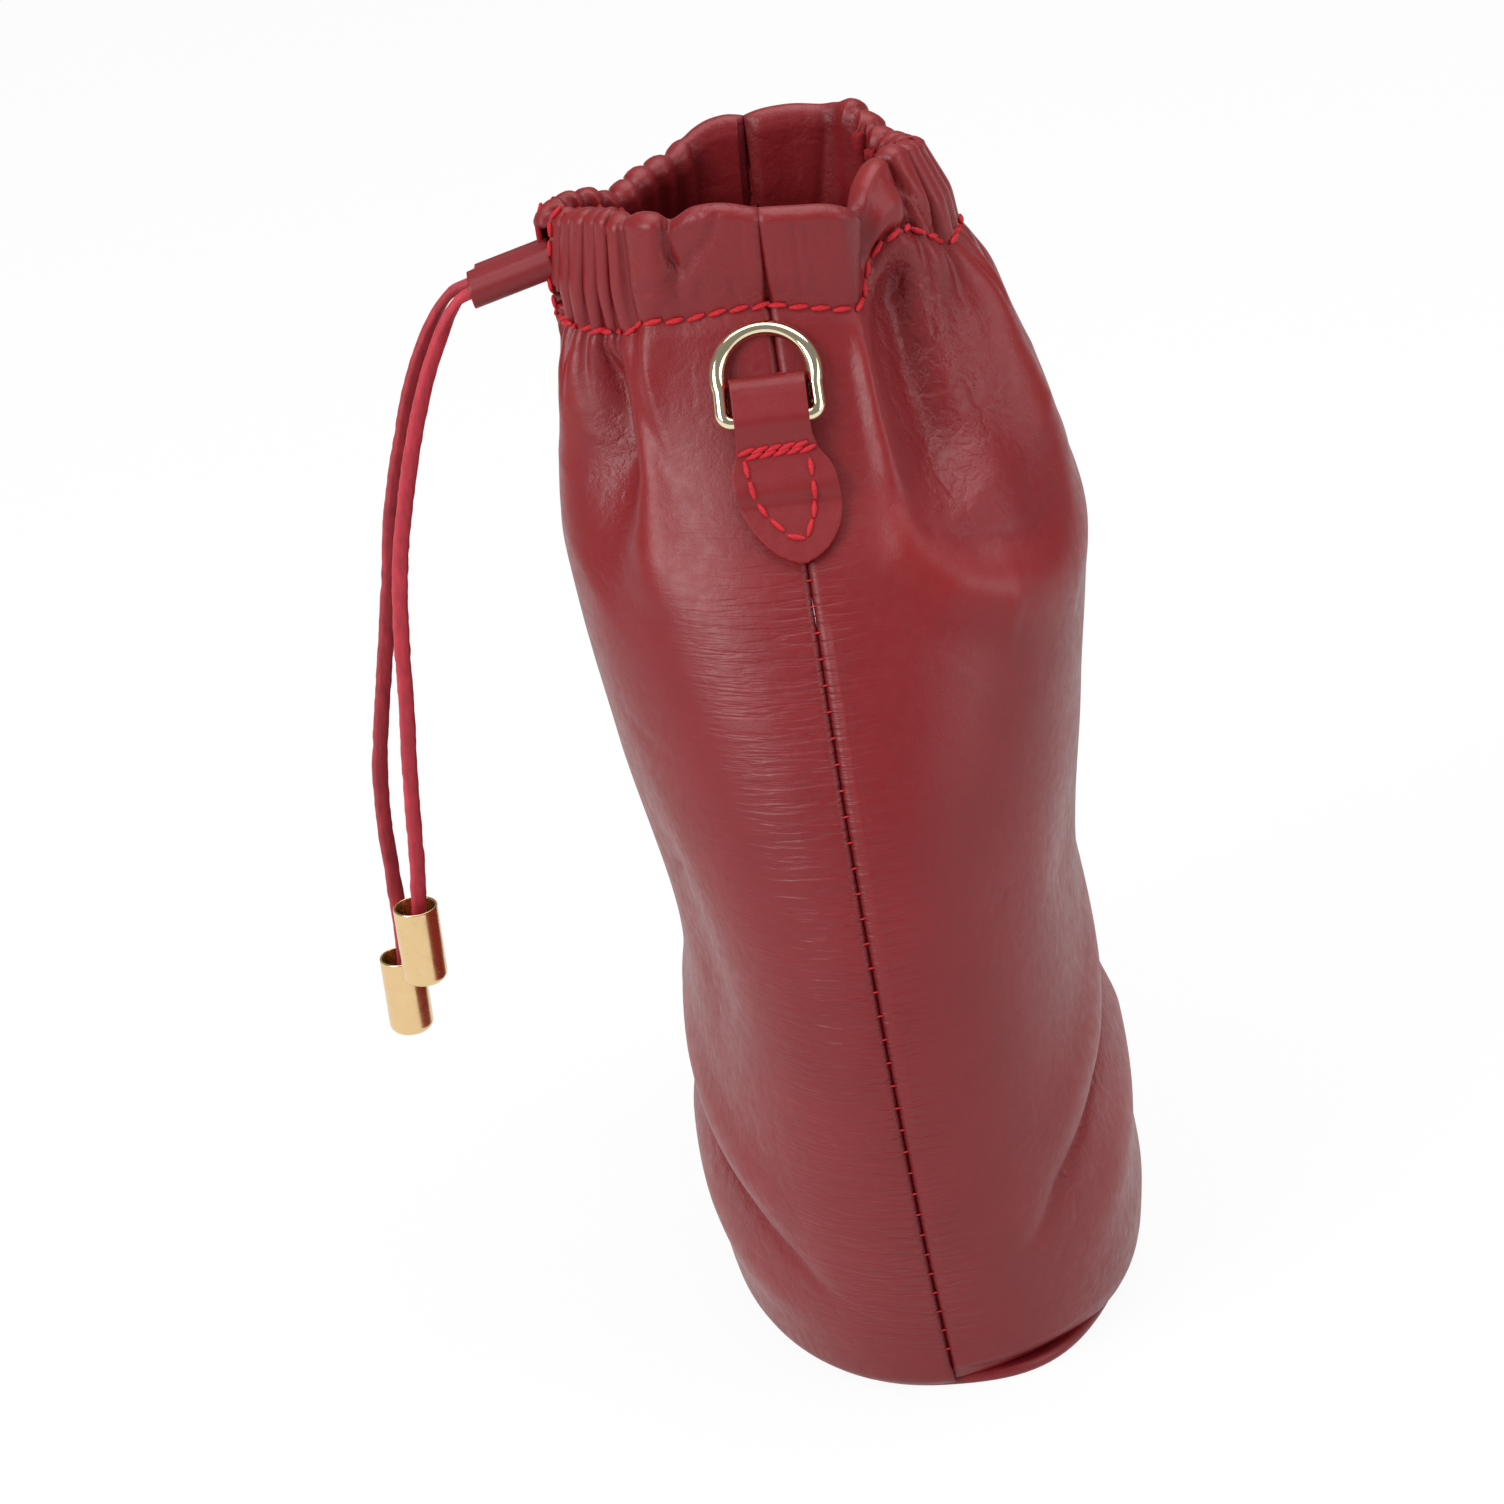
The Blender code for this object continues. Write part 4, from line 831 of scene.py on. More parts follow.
# %% Channel above the stitch line
def channel_rows(side, shares, stitch_row):
    """Rows of the channel: up its outside, over the rim and down its inside."""
    crest = read_curve(rim_curve[side], shares)
    foot = stitch_row
    rise = crest - foot
    run = np.linalg.norm(rise, axis=1)[:, None]
    rise = rise / run
    tangent = np.gradient(foot + crest, axis=0)
    tangent /= np.linalg.norm(tangent, axis=1)[:, None]
    outward = np.cross(tangent, rise) * side
    outward /= np.linalg.norm(outward, axis=1)[:, None]
    # A smoother set of directions keeps neighbouring folds from crossing
    for _ in range(3):
        outward[1:-1] = (outward[:-2] + outward[1:-1] * 2.0 + outward[2:]) / 4.0
    outward /= np.linalg.norm(outward, axis=1)[:, None]
    seam = np.minimum(shares, 1.0 - shares) * FULL_WIDTH
    pleats = pleat_shape(side, shares)
    strip = smooth(STRIP[side] + 3.0, STRIP[side] - 3.0, seam)
    # Half thickness of the puffed channel, pinched thin in its valleys
    outer_half = 1.6 + 1.9 * pleats + strip * 0.1
    inner_half = 1.5 + 1.5 * pleats + strip * 0.2
    round_off = 3.0
    steps = []
    for u in np.linspace(0.05, 0.84, 17):
        steps.append((u, 1.0, "outer"))
    for turn in np.radians(np.linspace(12.0, 168.0, 12)):
        steps.append((turn, 0.0, "rim"))
    for u in np.linspace(0.84, 0.12, 13):
        steps.append((u, -1.0, "hem"))
    steps += [(0.02, -1.0, "hem"), (-0.12, -1.0, "hem"), (-0.30, -1.0, "hem")]
    roll = seam_roll(seam)
    places, flat, masks = [], [], []
    middle_foot = foot - outward * 1.5
    for u, hand, part in steps:
        if part == "rim":
            centre = crest - rise * round_off
            half = np.where(math.cos(u) > 0.0, outer_half, inner_half)
            lift = round_off + (pleats - 0.6) * 0.9
            row = centre + outward * ((half - roll) * math.cos(u))[:, None] + rise * (lift * math.sin(u))[:, None]
            level = 1.0
        else:
            reach = (1.0 - round_off / run) * u / 0.84
            swell = smooth(-0.1, 0.42, u) if hand > 0 else smooth(-0.15, 0.30, u)
            half = (outer_half if hand > 0 else inner_half) * swell + 1.5 * (1.0 - swell)
            row = middle_foot + (crest - middle_foot) * reach
            row = row + outward * ((half - roll) * hand)[:, None]
            level = u
        along = shares * FULL_WIDTH
        creases = np.zeros(len(row))
        for crease_side, path, width, depth in channel_creases:
            if crease_side == side and hand >= 0.0:
                scaled = [(share * FULL_WIDTH, at * BAND_HEIGHT) for share, at in path]
                height = np.full(len(row), (level if part != "rim" else 0.86 + 0.25 * math.sin(u)) * BAND_HEIGHT)
                creases += press_fold(along, height, scaled, width, depth)
        row = row + outward * (creases * (1.0 if hand > 0 else max(math.cos(u), 0.0) if part == "rim" else 0.0))[:, None]
        places.append(row)
        height = np.full(len(row), CHANNEL_FOOT + 20.0 * min(max(level, 0.0), 1.0))
        flat.append(np.stack([seam, height], 1))
        masks.append(paint_masks(side, seam, height, creases, pleats, True))
    parts = [part for _, _, part in steps]
    levels = [u for u, _, _ in steps]
    return places, flat, masks, parts, levels


# %% Build the panels
def in_slot(x, level):
    """True inside the slot where the lace comes out. It gapes towards its foot."""
    half = 2.3 + 5.2 * float(smooth(0.50, 0.10, level))
    return -2.3 < x < half


def make_panel(name, side):
    """One panel with its thickness, slot, painted masks and flat coordinates."""
    shares = column_shares()
    places, flat, masks = wall_rows(side, shares)
    wall_count = len(places)
    band, band_flat, band_masks, parts, levels = channel_rows(side, shares, places[-1])
    places = np.array(places + band)
    flat = np.array(flat + band_flat)
    masks = np.array(masks + band_masks)
    # Seam allowance: two more columns at each end that turn straight in
    centre = (places[wall_count - 1] + places[-1]) / 2.0
    ends = []
    for end in (0, -1):
        edge = places[:, end].copy()
        edge[:, 1] = (edge[:, 1] + read_stations(seam_leans, np.clip(edge[:, 2], 0, HEIGHT))) / 2.0
        edge[:wall_count, 1] = read_stations(seam_leans, edge[:wall_count, 2]) + side * 0.05
        places[:, end] = edge
        columns = []
        for depth in SEAM_FLANGE:
            turned = edge.copy()
            turned[:wall_count, 0] -= math.copysign(depth, edge[0, 0])
            # The allowance stays above the base, so that it can't dip under the floor
            turned[:wall_count, 2] = np.maximum(turned[:wall_count, 2], 2.0 * LEATHER)
            middle = centre[end] + (edge[wall_count:] - centre[end]) * 0.6
            turned[wall_count:, 0] = middle[:, 0]
            turned[wall_count:, 2] = middle[:, 2] - 0.5 * (depth > 3.0)
            columns.append(turned)
        ends.append(columns)
    places = np.concatenate([np.stack(ends[0], 1), places, np.stack(ends[1][::-1], 1)], 1)
    flat = np.concatenate([flat[:, :1], flat[:, :1], flat, flat[:, -1:], flat[:, -1:]], 1)
    masks = np.concatenate([masks[:, :1], masks[:, :1], masks, masks[:, -1:], masks[:, -1:]], 1)
    sheet = lay_sheet(places * MM)
    uv_layer = sheet.loops.layers.uv.new("leather")
    layers = [sheet.verts.layers.float.new(key) for key in ATTRIBUTES.values()]
    flat_list = (flat * MM).reshape(-1, 2)
    mask_list = masks.reshape(-1, 4)
    sheet.verts.ensure_lookup_table()
    sheet.verts.index_update()
    for vert, values in zip(sheet.verts, mask_list):
        for layer, value in zip(layers, values):
            vert[layer] = float(value)
    for face in sheet.faces:
        for loop in face.loops:
            loop[uv_layer].uv = flat_list[loop.vert.index]
    if side < 0:
        cut = []
        width = places.shape[1]
        for face in sheet.faces:
            row = min(vert.index for vert in face.verts) // width - wall_count
            if 1 <= row < len(parts) and parts[row] == "outer":
                if in_slot(face.calc_center_median().x / MM, levels[row]):
                    cut.append(face)
        bmesh.ops.delete(sheet, geom=cut, context="FACES")
    made = finish_piece(name, sheet, body_leather, suede, raw_edge)
    outside = Vector((0.0, float(side), 0.0))
    probe = min(made.data.polygons, key=lambda p: (p.center - Vector((0.0, side * 0.05, 0.09))).length)
    if probe.normal.dot(outside) < 0.0:
        made.data.flip_normals()
    wall = made.modifiers.new("leather thickness", "SOLIDIFY")
    wall.thickness = LEATHER * MM
    wall.offset = -1.0
    wall.material_offset = 1
    wall.material_offset_rim = 2
    return made, places, wall_count


front_panel, front_places, stitch_row = make_panel("front_panel_leather", -1)
back_panel, back_places, _ = make_panel("back_panel_leather", 1)
for panel, node in ((front_panel, "front_panel"), (back_panel, "back_panel")):
    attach(panel, "pouch")
    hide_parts(node)

# %% [markdown]
# ## The base
# The base is an oval of the same leather. The wall is sewn to it inside out, so the wall
# curls under and hides the seam. Only at one place does the base's rolled edge show.

# %% Build the base
def foot_outline(inset, height, count=180):
    """Closed outline of the foot, drawn in by a distance at each point."""
    halves = []
    for side in (-1, 1):
        outline = wall_section(FOOT, side)
        steps = np.linalg.norm(np.diff(outline, axis=0), axis=1)
        length = np.concatenate([[0.0], np.cumsum(steps)])
        at = np.linspace(0.0, length[-1], count // 2 + 1)
        row = np.stack([np.interp(at, length, outline[:, k]) for k in range(3)], 1)
        halves.append(row if side < 0 else row[::-1])
    ring = np.vstack([halves[0][:-1], halves[1]])
    tangent = np.roll(ring, -1, axis=0) - np.roll(ring, 1, axis=0)
    tangent[0] = tangent[-1] = ring[1] - ring[-2]
    outward = np.stack([tangent[:, 1], -tangent[:, 0]], 1)
    outward /= np.linalg.norm(outward, axis=1)[:, None]
    outward *= np.sign(np.sum(outward * ring[:, :2], axis=1))[:, None]
    # The base's edge comes out a little beside the +X seam, towards the back
    turn = np.arctan2(ring[:, 1] / BASE_DEPTH, ring[:, 0] / BASE_WIDTH)
    shown = np.exp(-((turn - 0.42) / 0.34) ** 2)
    ring[:, :2] -= outward * (inset - 2.4 * shown * float(smooth(9.0, 4.0, inset)))[:, None]
    ring[:, 2] = height
    return ring


base_rings = []
for share in (0.08, 0.3, 0.5, 0.7, 0.85):
    ring = foot_outline(9.0, 0.0)
    ring[:, :2] *= share
    base_rings.append(ring)
base_rings += [foot_outline(inset, 0.0) for inset in (9.0, 6.5, 4.6, 3.4)]
for turn in np.radians(np.linspace(15.0, 165.0, 9)):
    base_rings.append(foot_outline(3.4 - 1.3 * math.sin(turn), 1.25 * (1.0 - math.cos(turn))))
base_rings += [foot_outline(3.6, 2.5), foot_outline(6.5, 2.5)]
base_sheet = lay_sheet(np.array(base_rings) * MM, closed=True)
middle_edges = [e for e in base_sheet.edges if e.is_boundary and e.verts[0].co.length < 0.012]
bmesh.ops.holes_fill(base_sheet, edges=middle_edges, sides=0)
bmesh.ops.recalc_face_normals(base_sheet, faces=base_sheet.faces)
base_sheet.normal_update()
lowest = min(base_sheet.faces, key=lambda face: face.calc_center_median().z)
if lowest.normal.z > 0.0:
    bmesh.ops.reverse_faces(base_sheet, faces=base_sheet.faces)
base_leather = finish_piece("base_panel_leather", base_sheet, body_leather, suede, raw_edge)
base_wall = base_leather.modifiers.new("leather thickness", "SOLIDIFY")
base_wall.thickness = LEATHER * MM
base_wall.offset = -1.0
base_wall.material_offset = 1
base_wall.material_offset_rim = 2
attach(base_leather, "pouch")
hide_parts("base_panel")

# %% [markdown]
# ## Stitches
# The rows of bright red thread are real stitches, one small rounded shape each. They
# could be a texture, but real ones catch the light and cast their own small shadows.

# %% Stitch tools
def stitch_shapes(builder, centres, directions, normals, length, thickness):
    """Add one stitch at each centre, lying along its direction."""
    for centre, direction, normal in zip(centres, directions, normals):
        along = Vector(direction).normalized()
        up = Vector(normal).normalized()
        side = along.cross(up).normalized()
        up = side.cross(along)
        turn = Matrix((along, side, up)).transposed().to_4x4()
        size = Matrix.Diagonal((length / 2.0, thickness / 2.0, thickness / 2.0, 1.0))
        place = Matrix.Translation(Vector(centre)) @ turn @ size
        bmesh.ops.create_uvsphere(builder, u_segments=6, v_segments=6, radius=1.0, matrix=place)


def sew_line(builder, line, outs, pitch, length, thickness, slant=0.0, start=2.0):
    """Stitches at an even pitch along a line in millimetres."""
    steps = np.linalg.norm(np.diff(line, axis=0), axis=1)
    run = np.concatenate([[0.0], np.cumsum(steps)])
    at = np.arange(start, run[-1] - 1.0, pitch)
    centre = np.stack([np.interp(at, run, line[:, k]) for k in range(3)], 1)
    ahead = np.stack([np.interp(at + 0.8, run, line[:, k]) for k in range(3)], 1)
    behind = np.stack([np.interp(at - 0.8, run, line[:, k]) for k in range(3)], 1)
    out = np.stack([np.interp(at, run, outs[:, k]) for k in range(3)], 1)
    lie = ahead - behind
    lie /= np.linalg.norm(lie, axis=1)[:, None]
    across = np.cross(out, lie)
    stitch_shapes(builder, centre * MM, lie + across * slant, out, length * MM, thickness * MM)


# %% Stitches of the channel
channel_thread = bmesh.new()
for side, places in ((-1, front_places), (1, back_places)):
    line = places[stitch_row - 1, 2:-2]
    below, above = places[stitch_row - 3, 2:-2], places[stitch_row + 1, 2:-2]
    out = np.cross(np.gradient(line, axis=0), above - below)
    out /= np.linalg.norm(out, axis=1)[:, None]
    if out[len(out) // 2, 1] * side < 0.0:
        out = -out
    sew_line(channel_thread, line + out * 0.30, out, 3.9, 4.0, 1.15, 0.16)
    if side < 0:
        # One more row runs up each lip of the slot
        shares = column_shares()
        for share in (0.452, 0.552):
            column = int(np.argmin(np.abs(shares - share))) + 2
            lip = places[stitch_row:stitch_row + 22, column]
            beside = places[stitch_row:stitch_row + 22, column + 2] - places[stitch_row:stitch_row + 22, column - 2]
            lip_out = np.cross(beside, np.gradient(lip, axis=0))
            lip_out /= np.linalg.norm(lip_out, axis=1)[:, None]
            if lip_out[5, 1] > 0.0:
                lip_out = -lip_out
            sew_line(channel_thread, lip + lip_out * 0.25, lip_out, 3.6, 3.4, 1.0, 0.2, 1.5)
channel_stitches = finish_piece("channel_stitches", channel_thread, thread)
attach(channel_stitches, "pouch")

# %% Side seam thread
seam_thread = bmesh.new()
for end in (2, -3):
    middle = (front_places[:stitch_row, end] + back_places[:stitch_row, end]) / 2.0
    middle = middle[(middle[:, 2] > 8.0) & (middle[:, 2] < 196.0)]
    outward = np.array([1.0 if end == 2 else -1.0, 0.0, 0.0])
    run = np.concatenate([[0.0], np.cumsum(np.linalg.norm(np.diff(middle, axis=0), axis=1))])
    at = np.arange(1.0, run[-1], 4.7)
    centres = np.stack([np.interp(at, run, middle[:, k]) for k in range(3)], 1) + outward * 0.55
    stitch_shapes(seam_thread, centres * MM, [(0.0, 1.0, 0.12)] * len(at), [outward] * len(at), 1.5 * MM, 0.34 * MM)
seam_stitches = finish_piece("side_seam_stitches", seam_thread, thread)
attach(seam_stitches, "pouch")

# %% [markdown]
# ## Tabs and D-rings
# A strip of leather is folded round the ring's straight bar and sewn to the side seam
# by a shield-shaped end. The sheet is laid from its hidden back end, up over the bar and
# down to the tip. The ring itself is round wire bent to a D.

# %% Tab path
RING_WIRE, RING_WIDTH, RING_HEIGHT, RING_BAR, RING_CORNER = 2.8, 20.2, 19.4, 17.0, 1.8
RING_FORWARD = 2.6
RING_PLAY = 0.4
TAB_NECK = RING_BAR - RING_WIRE - 2.0 * RING_PLAY
TAB_SHIELD, TAB_RISE, TAB_DROP, TAB_BACK = 18.4, 5.0, 26.0, 9.0
TAB_OFF_WALL = 0.5
BAR_PLACE = np.array(frame["record"]["behaviour"]["joints"][0]["pos_m"]) / MM


def wall_slope(height):
    """Angle between the seam line and the vertical where the wall leans in."""
    change = read_stations(half_widths, height - 0.5) - read_stations(half_widths, height + 0.5)
    return math.atan2(float(change), 1.0)


def down_wall(start, distance):
    """Height after walking a distance down the seam line."""
    step = math.copysign(0.25, distance)
    height = start
    for _ in range(int(round(abs(distance) / 0.25))):
        height -= step * math.cos(wall_slope(height))
    return height


def off_wall(start, distance, offset):
    """Point in the XZ plane at a distance down the wall and an offset off it."""
    height = down_wall(start, distance)
    slope = wall_slope(height)
    x = float(read_stations(half_widths, height)) + offset * math.cos(slope)
    return x, height + offset * math.sin(slope)


BACK_LAYER = TAB_OFF_WALL + LEATHER / 2.0
BAR_OFFSET = TAB_OFF_WALL + LEATHER + RING_PLAY + RING_WIRE / 2.0
FRONT_LAYER = BAR_OFFSET + RING_WIRE / 2.0 + RING_PLAY + LEATHER / 2.0
BAR_WALL_HEIGHT = down_wall(CHANNEL_FOOT, 2.4 + RING_HEIGHT - RING_WIRE / 2.0)
print("bar at", off_wall(BAR_WALL_HEIGHT, 0.0, BAR_OFFSET), "record", BAR_PLACE)


def tab_rows():
    """Rows of the tab: (distance below the bar, offset from the wall, half width)."""
    neck, shield = TAB_NECK / 2.0, TAB_SHIELD / 2.0
    radius = (FRONT_LAYER - BACK_LAYER) / 2.0
    middle = (FRONT_LAYER + BACK_LAYER) / 2.0
    rows = [(d, BACK_LAYER, neck) for d in (TAB_BACK, 6.0, 3.0, 0.0, -2.5, -TAB_RISE)]
    for turn in np.radians(np.linspace(15.0, 165.0, 11)):
        rows.append((-TAB_RISE - radius * math.sin(turn), middle - radius * math.cos(turn), neck))
    rows += [(d, FRONT_LAYER, neck) for d in (-TAB_RISE, -3.6, -2.2, -1.0, 0.0, 0.8)]
    lapped = BACK_LAYER + LEATHER + 0.3
    for d in np.linspace(1.6, TAB_BACK + 2.0, 14):
        drop = float(smooth(0.0, 0.72 * TAB_BACK, d))
        # The neck stays narrow at first, so that the ring can turn down beside it
        widening = float(smooth(3.0, TAB_BACK + 2.0, d))
        rows.append((d, FRONT_LAYER + (lapped - FRONT_LAYER) * drop, neck + (shield - neck) * widening))
    settled = TAB_BACK + 3.2
    for share in np.linspace(0.0, 1.0, 30) ** 0.8:
        half = shield * max(1.0 - share ** 2.2, 0.0) ** 0.62
        offset = BACK_LAYER + (lapped - BACK_LAYER) * (1.0 - float(smooth(0.0, 0.25, share)))
        rows.append((settled + (TAB_DROP - settled) * share, offset, max(half, 0.7)))
    return rows


def tab_grid(side_x, columns=25):
    """Points of the middle of the tab's leather."""
    across = np.linspace(-1.0, 1.0, columns)
    across = np.sign(across) * np.abs(across) ** 0.8
    grid = []
    for distance, offset, half in tab_rows():
        x, z = off_wall(BAR_WALL_HEIGHT, distance, offset)
        middle = BAR_PLACE[1] + RING_FORWARD * float(smooth(0.0, TAB_DROP, distance))
        row = np.zeros((columns, 3))
        row[:, 0] = side_x * x
        row[:, 1] = middle + half * across
        row[:, 2] = z
        grid.append(row)
    return np.array(grid) * MM


# %% Build tabs, rings and their stitches
def make_tab(name, node, side_x):
    """Tab leather with raw red edges."""
    grid = tab_grid(side_x)
    sheet = lay_sheet(grid)
    layers = [sheet.verts.layers.float.new(key) for key in ATTRIBUTES.values()]
    for vert in sheet.verts:
        vert[layers[3]] = 0.10
    made = finish_piece(name, sheet, body_leather, suede, raw_edge)
    wall = made.modifiers.new("leather thickness", "SOLIDIFY")
    wall.thickness = LEATHER * MM
    wall.offset = 0.0
    wall.material_offset_rim = 2
    rounding = made.modifiers.new("softened edge", "BEVEL")
    rounding.width = 0.22 * MM
    rounding.segments = 2
    rounding.limit_method = "ANGLE"
    rounding.angle_limit = math.radians(60.0)
    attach(made, "pouch")
    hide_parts(node)
    return made, grid


def ring_line():
    """Centre line of the ring: (across, up) points with the bar at the origin."""
    half = RING_BAR / 2.0
    arc = (RING_WIDTH - RING_WIRE) / 2.0
    arc_up = RING_HEIGHT - RING_WIRE - arc
    points = [(x, 0.0) for x in np.linspace(0.0, half - RING_CORNER, 6)[:-1]]
    for turn in np.radians(np.linspace(-90.0, 0.0, 7)):
        points.append((half - RING_CORNER + RING_CORNER * math.cos(turn), RING_CORNER + RING_CORNER * math.sin(turn)))
    for turn in np.radians(np.linspace(-15.0, 90.0, 22)):
        points.append((arc * math.cos(turn), arc_up + arc * math.sin(turn)))
    mirrored = [(-across, up) for across, up in reversed(points[1:-1])]
    return np.array(points + mirrored)


def make_ring(name, node, body, side_x, finish):
    """Polished wire ring, standing as the solid does."""
    line = ring_line()
    lean = wall_slope(BAR_WALL_HEIGHT)
    x, z = off_wall(BAR_WALL_HEIGHT, 0.0, BAR_OFFSET)
    centre = np.stack([
        side_x * (x - line[:, 1] * math.sin(lean)),
        BAR_PLACE[1] + line[:, 0],
        z + line[:, 1] * math.cos(lean),
    ], 1)
    centre = np.vstack([centre, centre[:1]])
    tangent = np.gradient(np.vstack([centre[-2:-1], centre, centre[1:2]]), axis=0)[1:-1]
    tangent /= np.linalg.norm(tangent, axis=1)[:, None]
    out = np.array([side_x * math.cos(lean), 0.0, math.sin(lean)])
    other = np.cross(tangent, out)
    turns = np.linspace(0.0, 2.0 * math.pi, 25)
    rows = [
        place + RING_WIRE / 2.0 * (np.cos(turns)[:, None] * out + np.sin(turns)[:, None] * o)
        for place, o in zip(centre, other)
    ]
    tube = lay_sheet(np.array(rows) * MM, closed=True)
    bmesh.ops.recalc_face_normals(tube, faces=tube.faces)
    made = finish_piece(name, tube, finish)
    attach(made, body)
    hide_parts(node)
    return made


def make_metal(name, colour, roughness, scratch_scale, bump):
    """Plated metal with faint polishing marks."""
    made, tree, shader = new_material(name)
    place = tree.nodes.new("ShaderNodeTexCoord").outputs["Object"]
    marks = add_noise(tree, place, scratch_scale, 4.0, 0.6)
    tree.links.new(add_range(tree, marks, 0.3, 0.7, roughness * 0.8, roughness * 1.25), shader.inputs["Roughness"])
    shade = add_mix(tree, add_range(tree, marks, 0.3, 0.7, 0.0, 0.25), colour, tuple(c * 0.85 for c in colour))
    tree.links.new(shade, shader.inputs["Base Color"])
    shader.inputs["Metallic"].default_value = 1.0
    add_bump(tree, marks, bump, shader)
    return made


pale_gold = make_metal("pale gold plating", (0.86, 0.76, 0.52), 0.10, 300.0, 0.01 * MM)
warm_gold = make_metal("satin gold plating", (0.82, 0.58, 0.30), 0.24, 420.0, 0.02 * MM)


def tab_point(grid, distance, across):
    """Point and normal on the tab's outer face at a distance below the bar."""
    # The last rows lie below the bar, in order of their distance from it
    below_bar = [index for index, row in enumerate(tab_rows()) if row[0] > 1.0 and index > 6]
    distances = [tab_rows()[index][0] for index in below_bar]
    middle = grid[below_bar].mean(axis=1)
    place = np.array([np.interp(distance, distances, middle[:, k]) for k in range(3)])
    onward = np.array([np.interp(distance + 0.5, distances, middle[:, k]) for k in range(3)])
    drop = onward - place
    normal = np.array([-drop[2], 0.0, drop[0]]) * math.copysign(1.0, place[0])
    normal /= np.linalg.norm(normal)
    place[1] += across * MM
    return place + normal * LEATHER * 0.55 * MM, normal


def sew_tab(name, grid):
    """Stitches round the shield and the double row below the bar."""
    outline = [(6.6, -6.1), (11.7, -6.1), (15.8, -5.3), (20.0, -2.4), (21.8, 0.6), (19.2, 2.6), (15.0, 4.3), (10.0, 5.1), (5.0, 5.5)]
    line = even_curve(outline, 120)
    steps = np.linalg.norm(np.diff(line, axis=0), axis=1)
    length = np.concatenate([[0.0], np.cumsum(steps)])
    builder = bmesh.new()
    centres, lies, outs = [], [], []
    for at in np.arange(2.0, length[-1] - 1.5, 3.7):
        spot = [np.interp(at, length, line[:, k]) for k in range(2)]
        ahead = [np.interp(at + 1.0, length, line[:, k]) for k in range(2)]
        place, normal = tab_point(grid, *spot)
        onward, _ = tab_point(grid, *ahead)
        lies.append(onward - place)
        centres.append(place)
        outs.append(normal)
    for level, shift in ((5.0, 0.0), (6.0, 1.2)):
        for across in np.arange(-5.4 + shift, 6.2, 2.4):
            place, normal = tab_point(grid, level - across * 0.02, across)
            centres.append(place)
            lies.append(np.array([0.0, 1.0, 0.35]))
            outs.append(normal)
    stitch_shapes(builder, centres, lies, outs, 3.9 * MM, 1.1 * MM)
    made = finish_piece(name, builder, thread)
    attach(made, "pouch")
    return made


for hand, side_x in (("right", 1.0), ("left", -1.0)):
    tab, grid = make_tab(f"tab_leather_{hand}", f"side_tab_{hand}", side_x)
    sew_tab(f"tab_stitches_{hand}", grid)
    make_ring(f"d_ring_polished_{hand}", f"d_ring_{hand}", f"ring_{hand}", side_x, pale_gold)

# %% [markdown]
# ## The slider
# A strip of leather is rolled into two tubes side by side, one for each lace, and sewn
# along the middle. The near tube's edge lies over the far tube as a lip. The strip's
# cross-section is drawn once and laid along the slider's axis.

# %% Build the slider
def slider_section():
    """Middle of the strip's thickness: (across, up) points from the lip to its end."""
    centre, radius = LACE_SPACING / 2.0, 2.45
    points = [(-1.7, 2.62), (-0.6, 2.66), (0.6, 2.72)]
    for turn in np.radians(np.linspace(105.0, -195.0, 22)):
        points.append((centre + 0.2 + radius * math.cos(turn), radius * math.sin(turn) + 0.05))
    points += [(0.0, 1.2)]
    for turn in np.radians(np.linspace(62.0, 322.0, 20)):
        points.append((-centre + radius * math.cos(turn), radius * math.sin(turn)))
    return np.array(points)


slider_outline = even_curve(slider_section(), 84)
slider_up = np.cross((1.0, 0.0, 0.0), SLIDER_AXIS)
slider_up = -slider_up if slider_up[2] < 0.0 else slider_up
slider_rows = []
for share in np.linspace(0.0, 1.0, 30):
    row = []
    for across, up in slider_outline:
        # The outer end is cut at a slant, and the far tube ends a little sooner
        reach = SLIDER_LENGTH * share
        if share > 0.0:
            reach += share * (0.6 if across > 0.0 else -0.9) - share * up * 0.12
        row.append(SLIDER_START + SLIDER_AXIS * reach + np.array([across, 0.0, 0.0]) + slider_up * up)
    slider_rows.append(row)
slider_sheet = lay_sheet(np.array(slider_rows) * MM)
bmesh.ops.recalc_face_normals(slider_sheet, faces=slider_sheet.faces)
slider_leather = finish_piece("slider_leather", slider_sheet, body_leather, suede, raw_edge)
slider_wall = slider_leather.modifiers.new("leather thickness", "SOLIDIFY")
slider_wall.thickness = 1.0 * MM
slider_wall.offset = 0.0
slider_wall.material_offset_rim = 2
slider_soft = slider_leather.modifiers.new("softened edge", "BEVEL")
slider_soft.width = 0.2 * MM
slider_soft.segments = 2
slider_soft.limit_method = "ANGLE"
slider_soft.angle_limit = math.radians(60.0)
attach(slider_leather, "slider")
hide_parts("cord_slider")

# %% [markdown]
# ## Metal lace ends
# Each lace ends in a small gold cup with an open top and a rounded foot. A cup is a
# turned shape, so its profile is spun round its axis.

# %% Build the cups
CUP_RADIUS, CUP_LENGTH, CUP_WALL, CUP_FOOT = 4.3, 16.0, 0.5, 1.7
CUP_FLOOR = 3.2


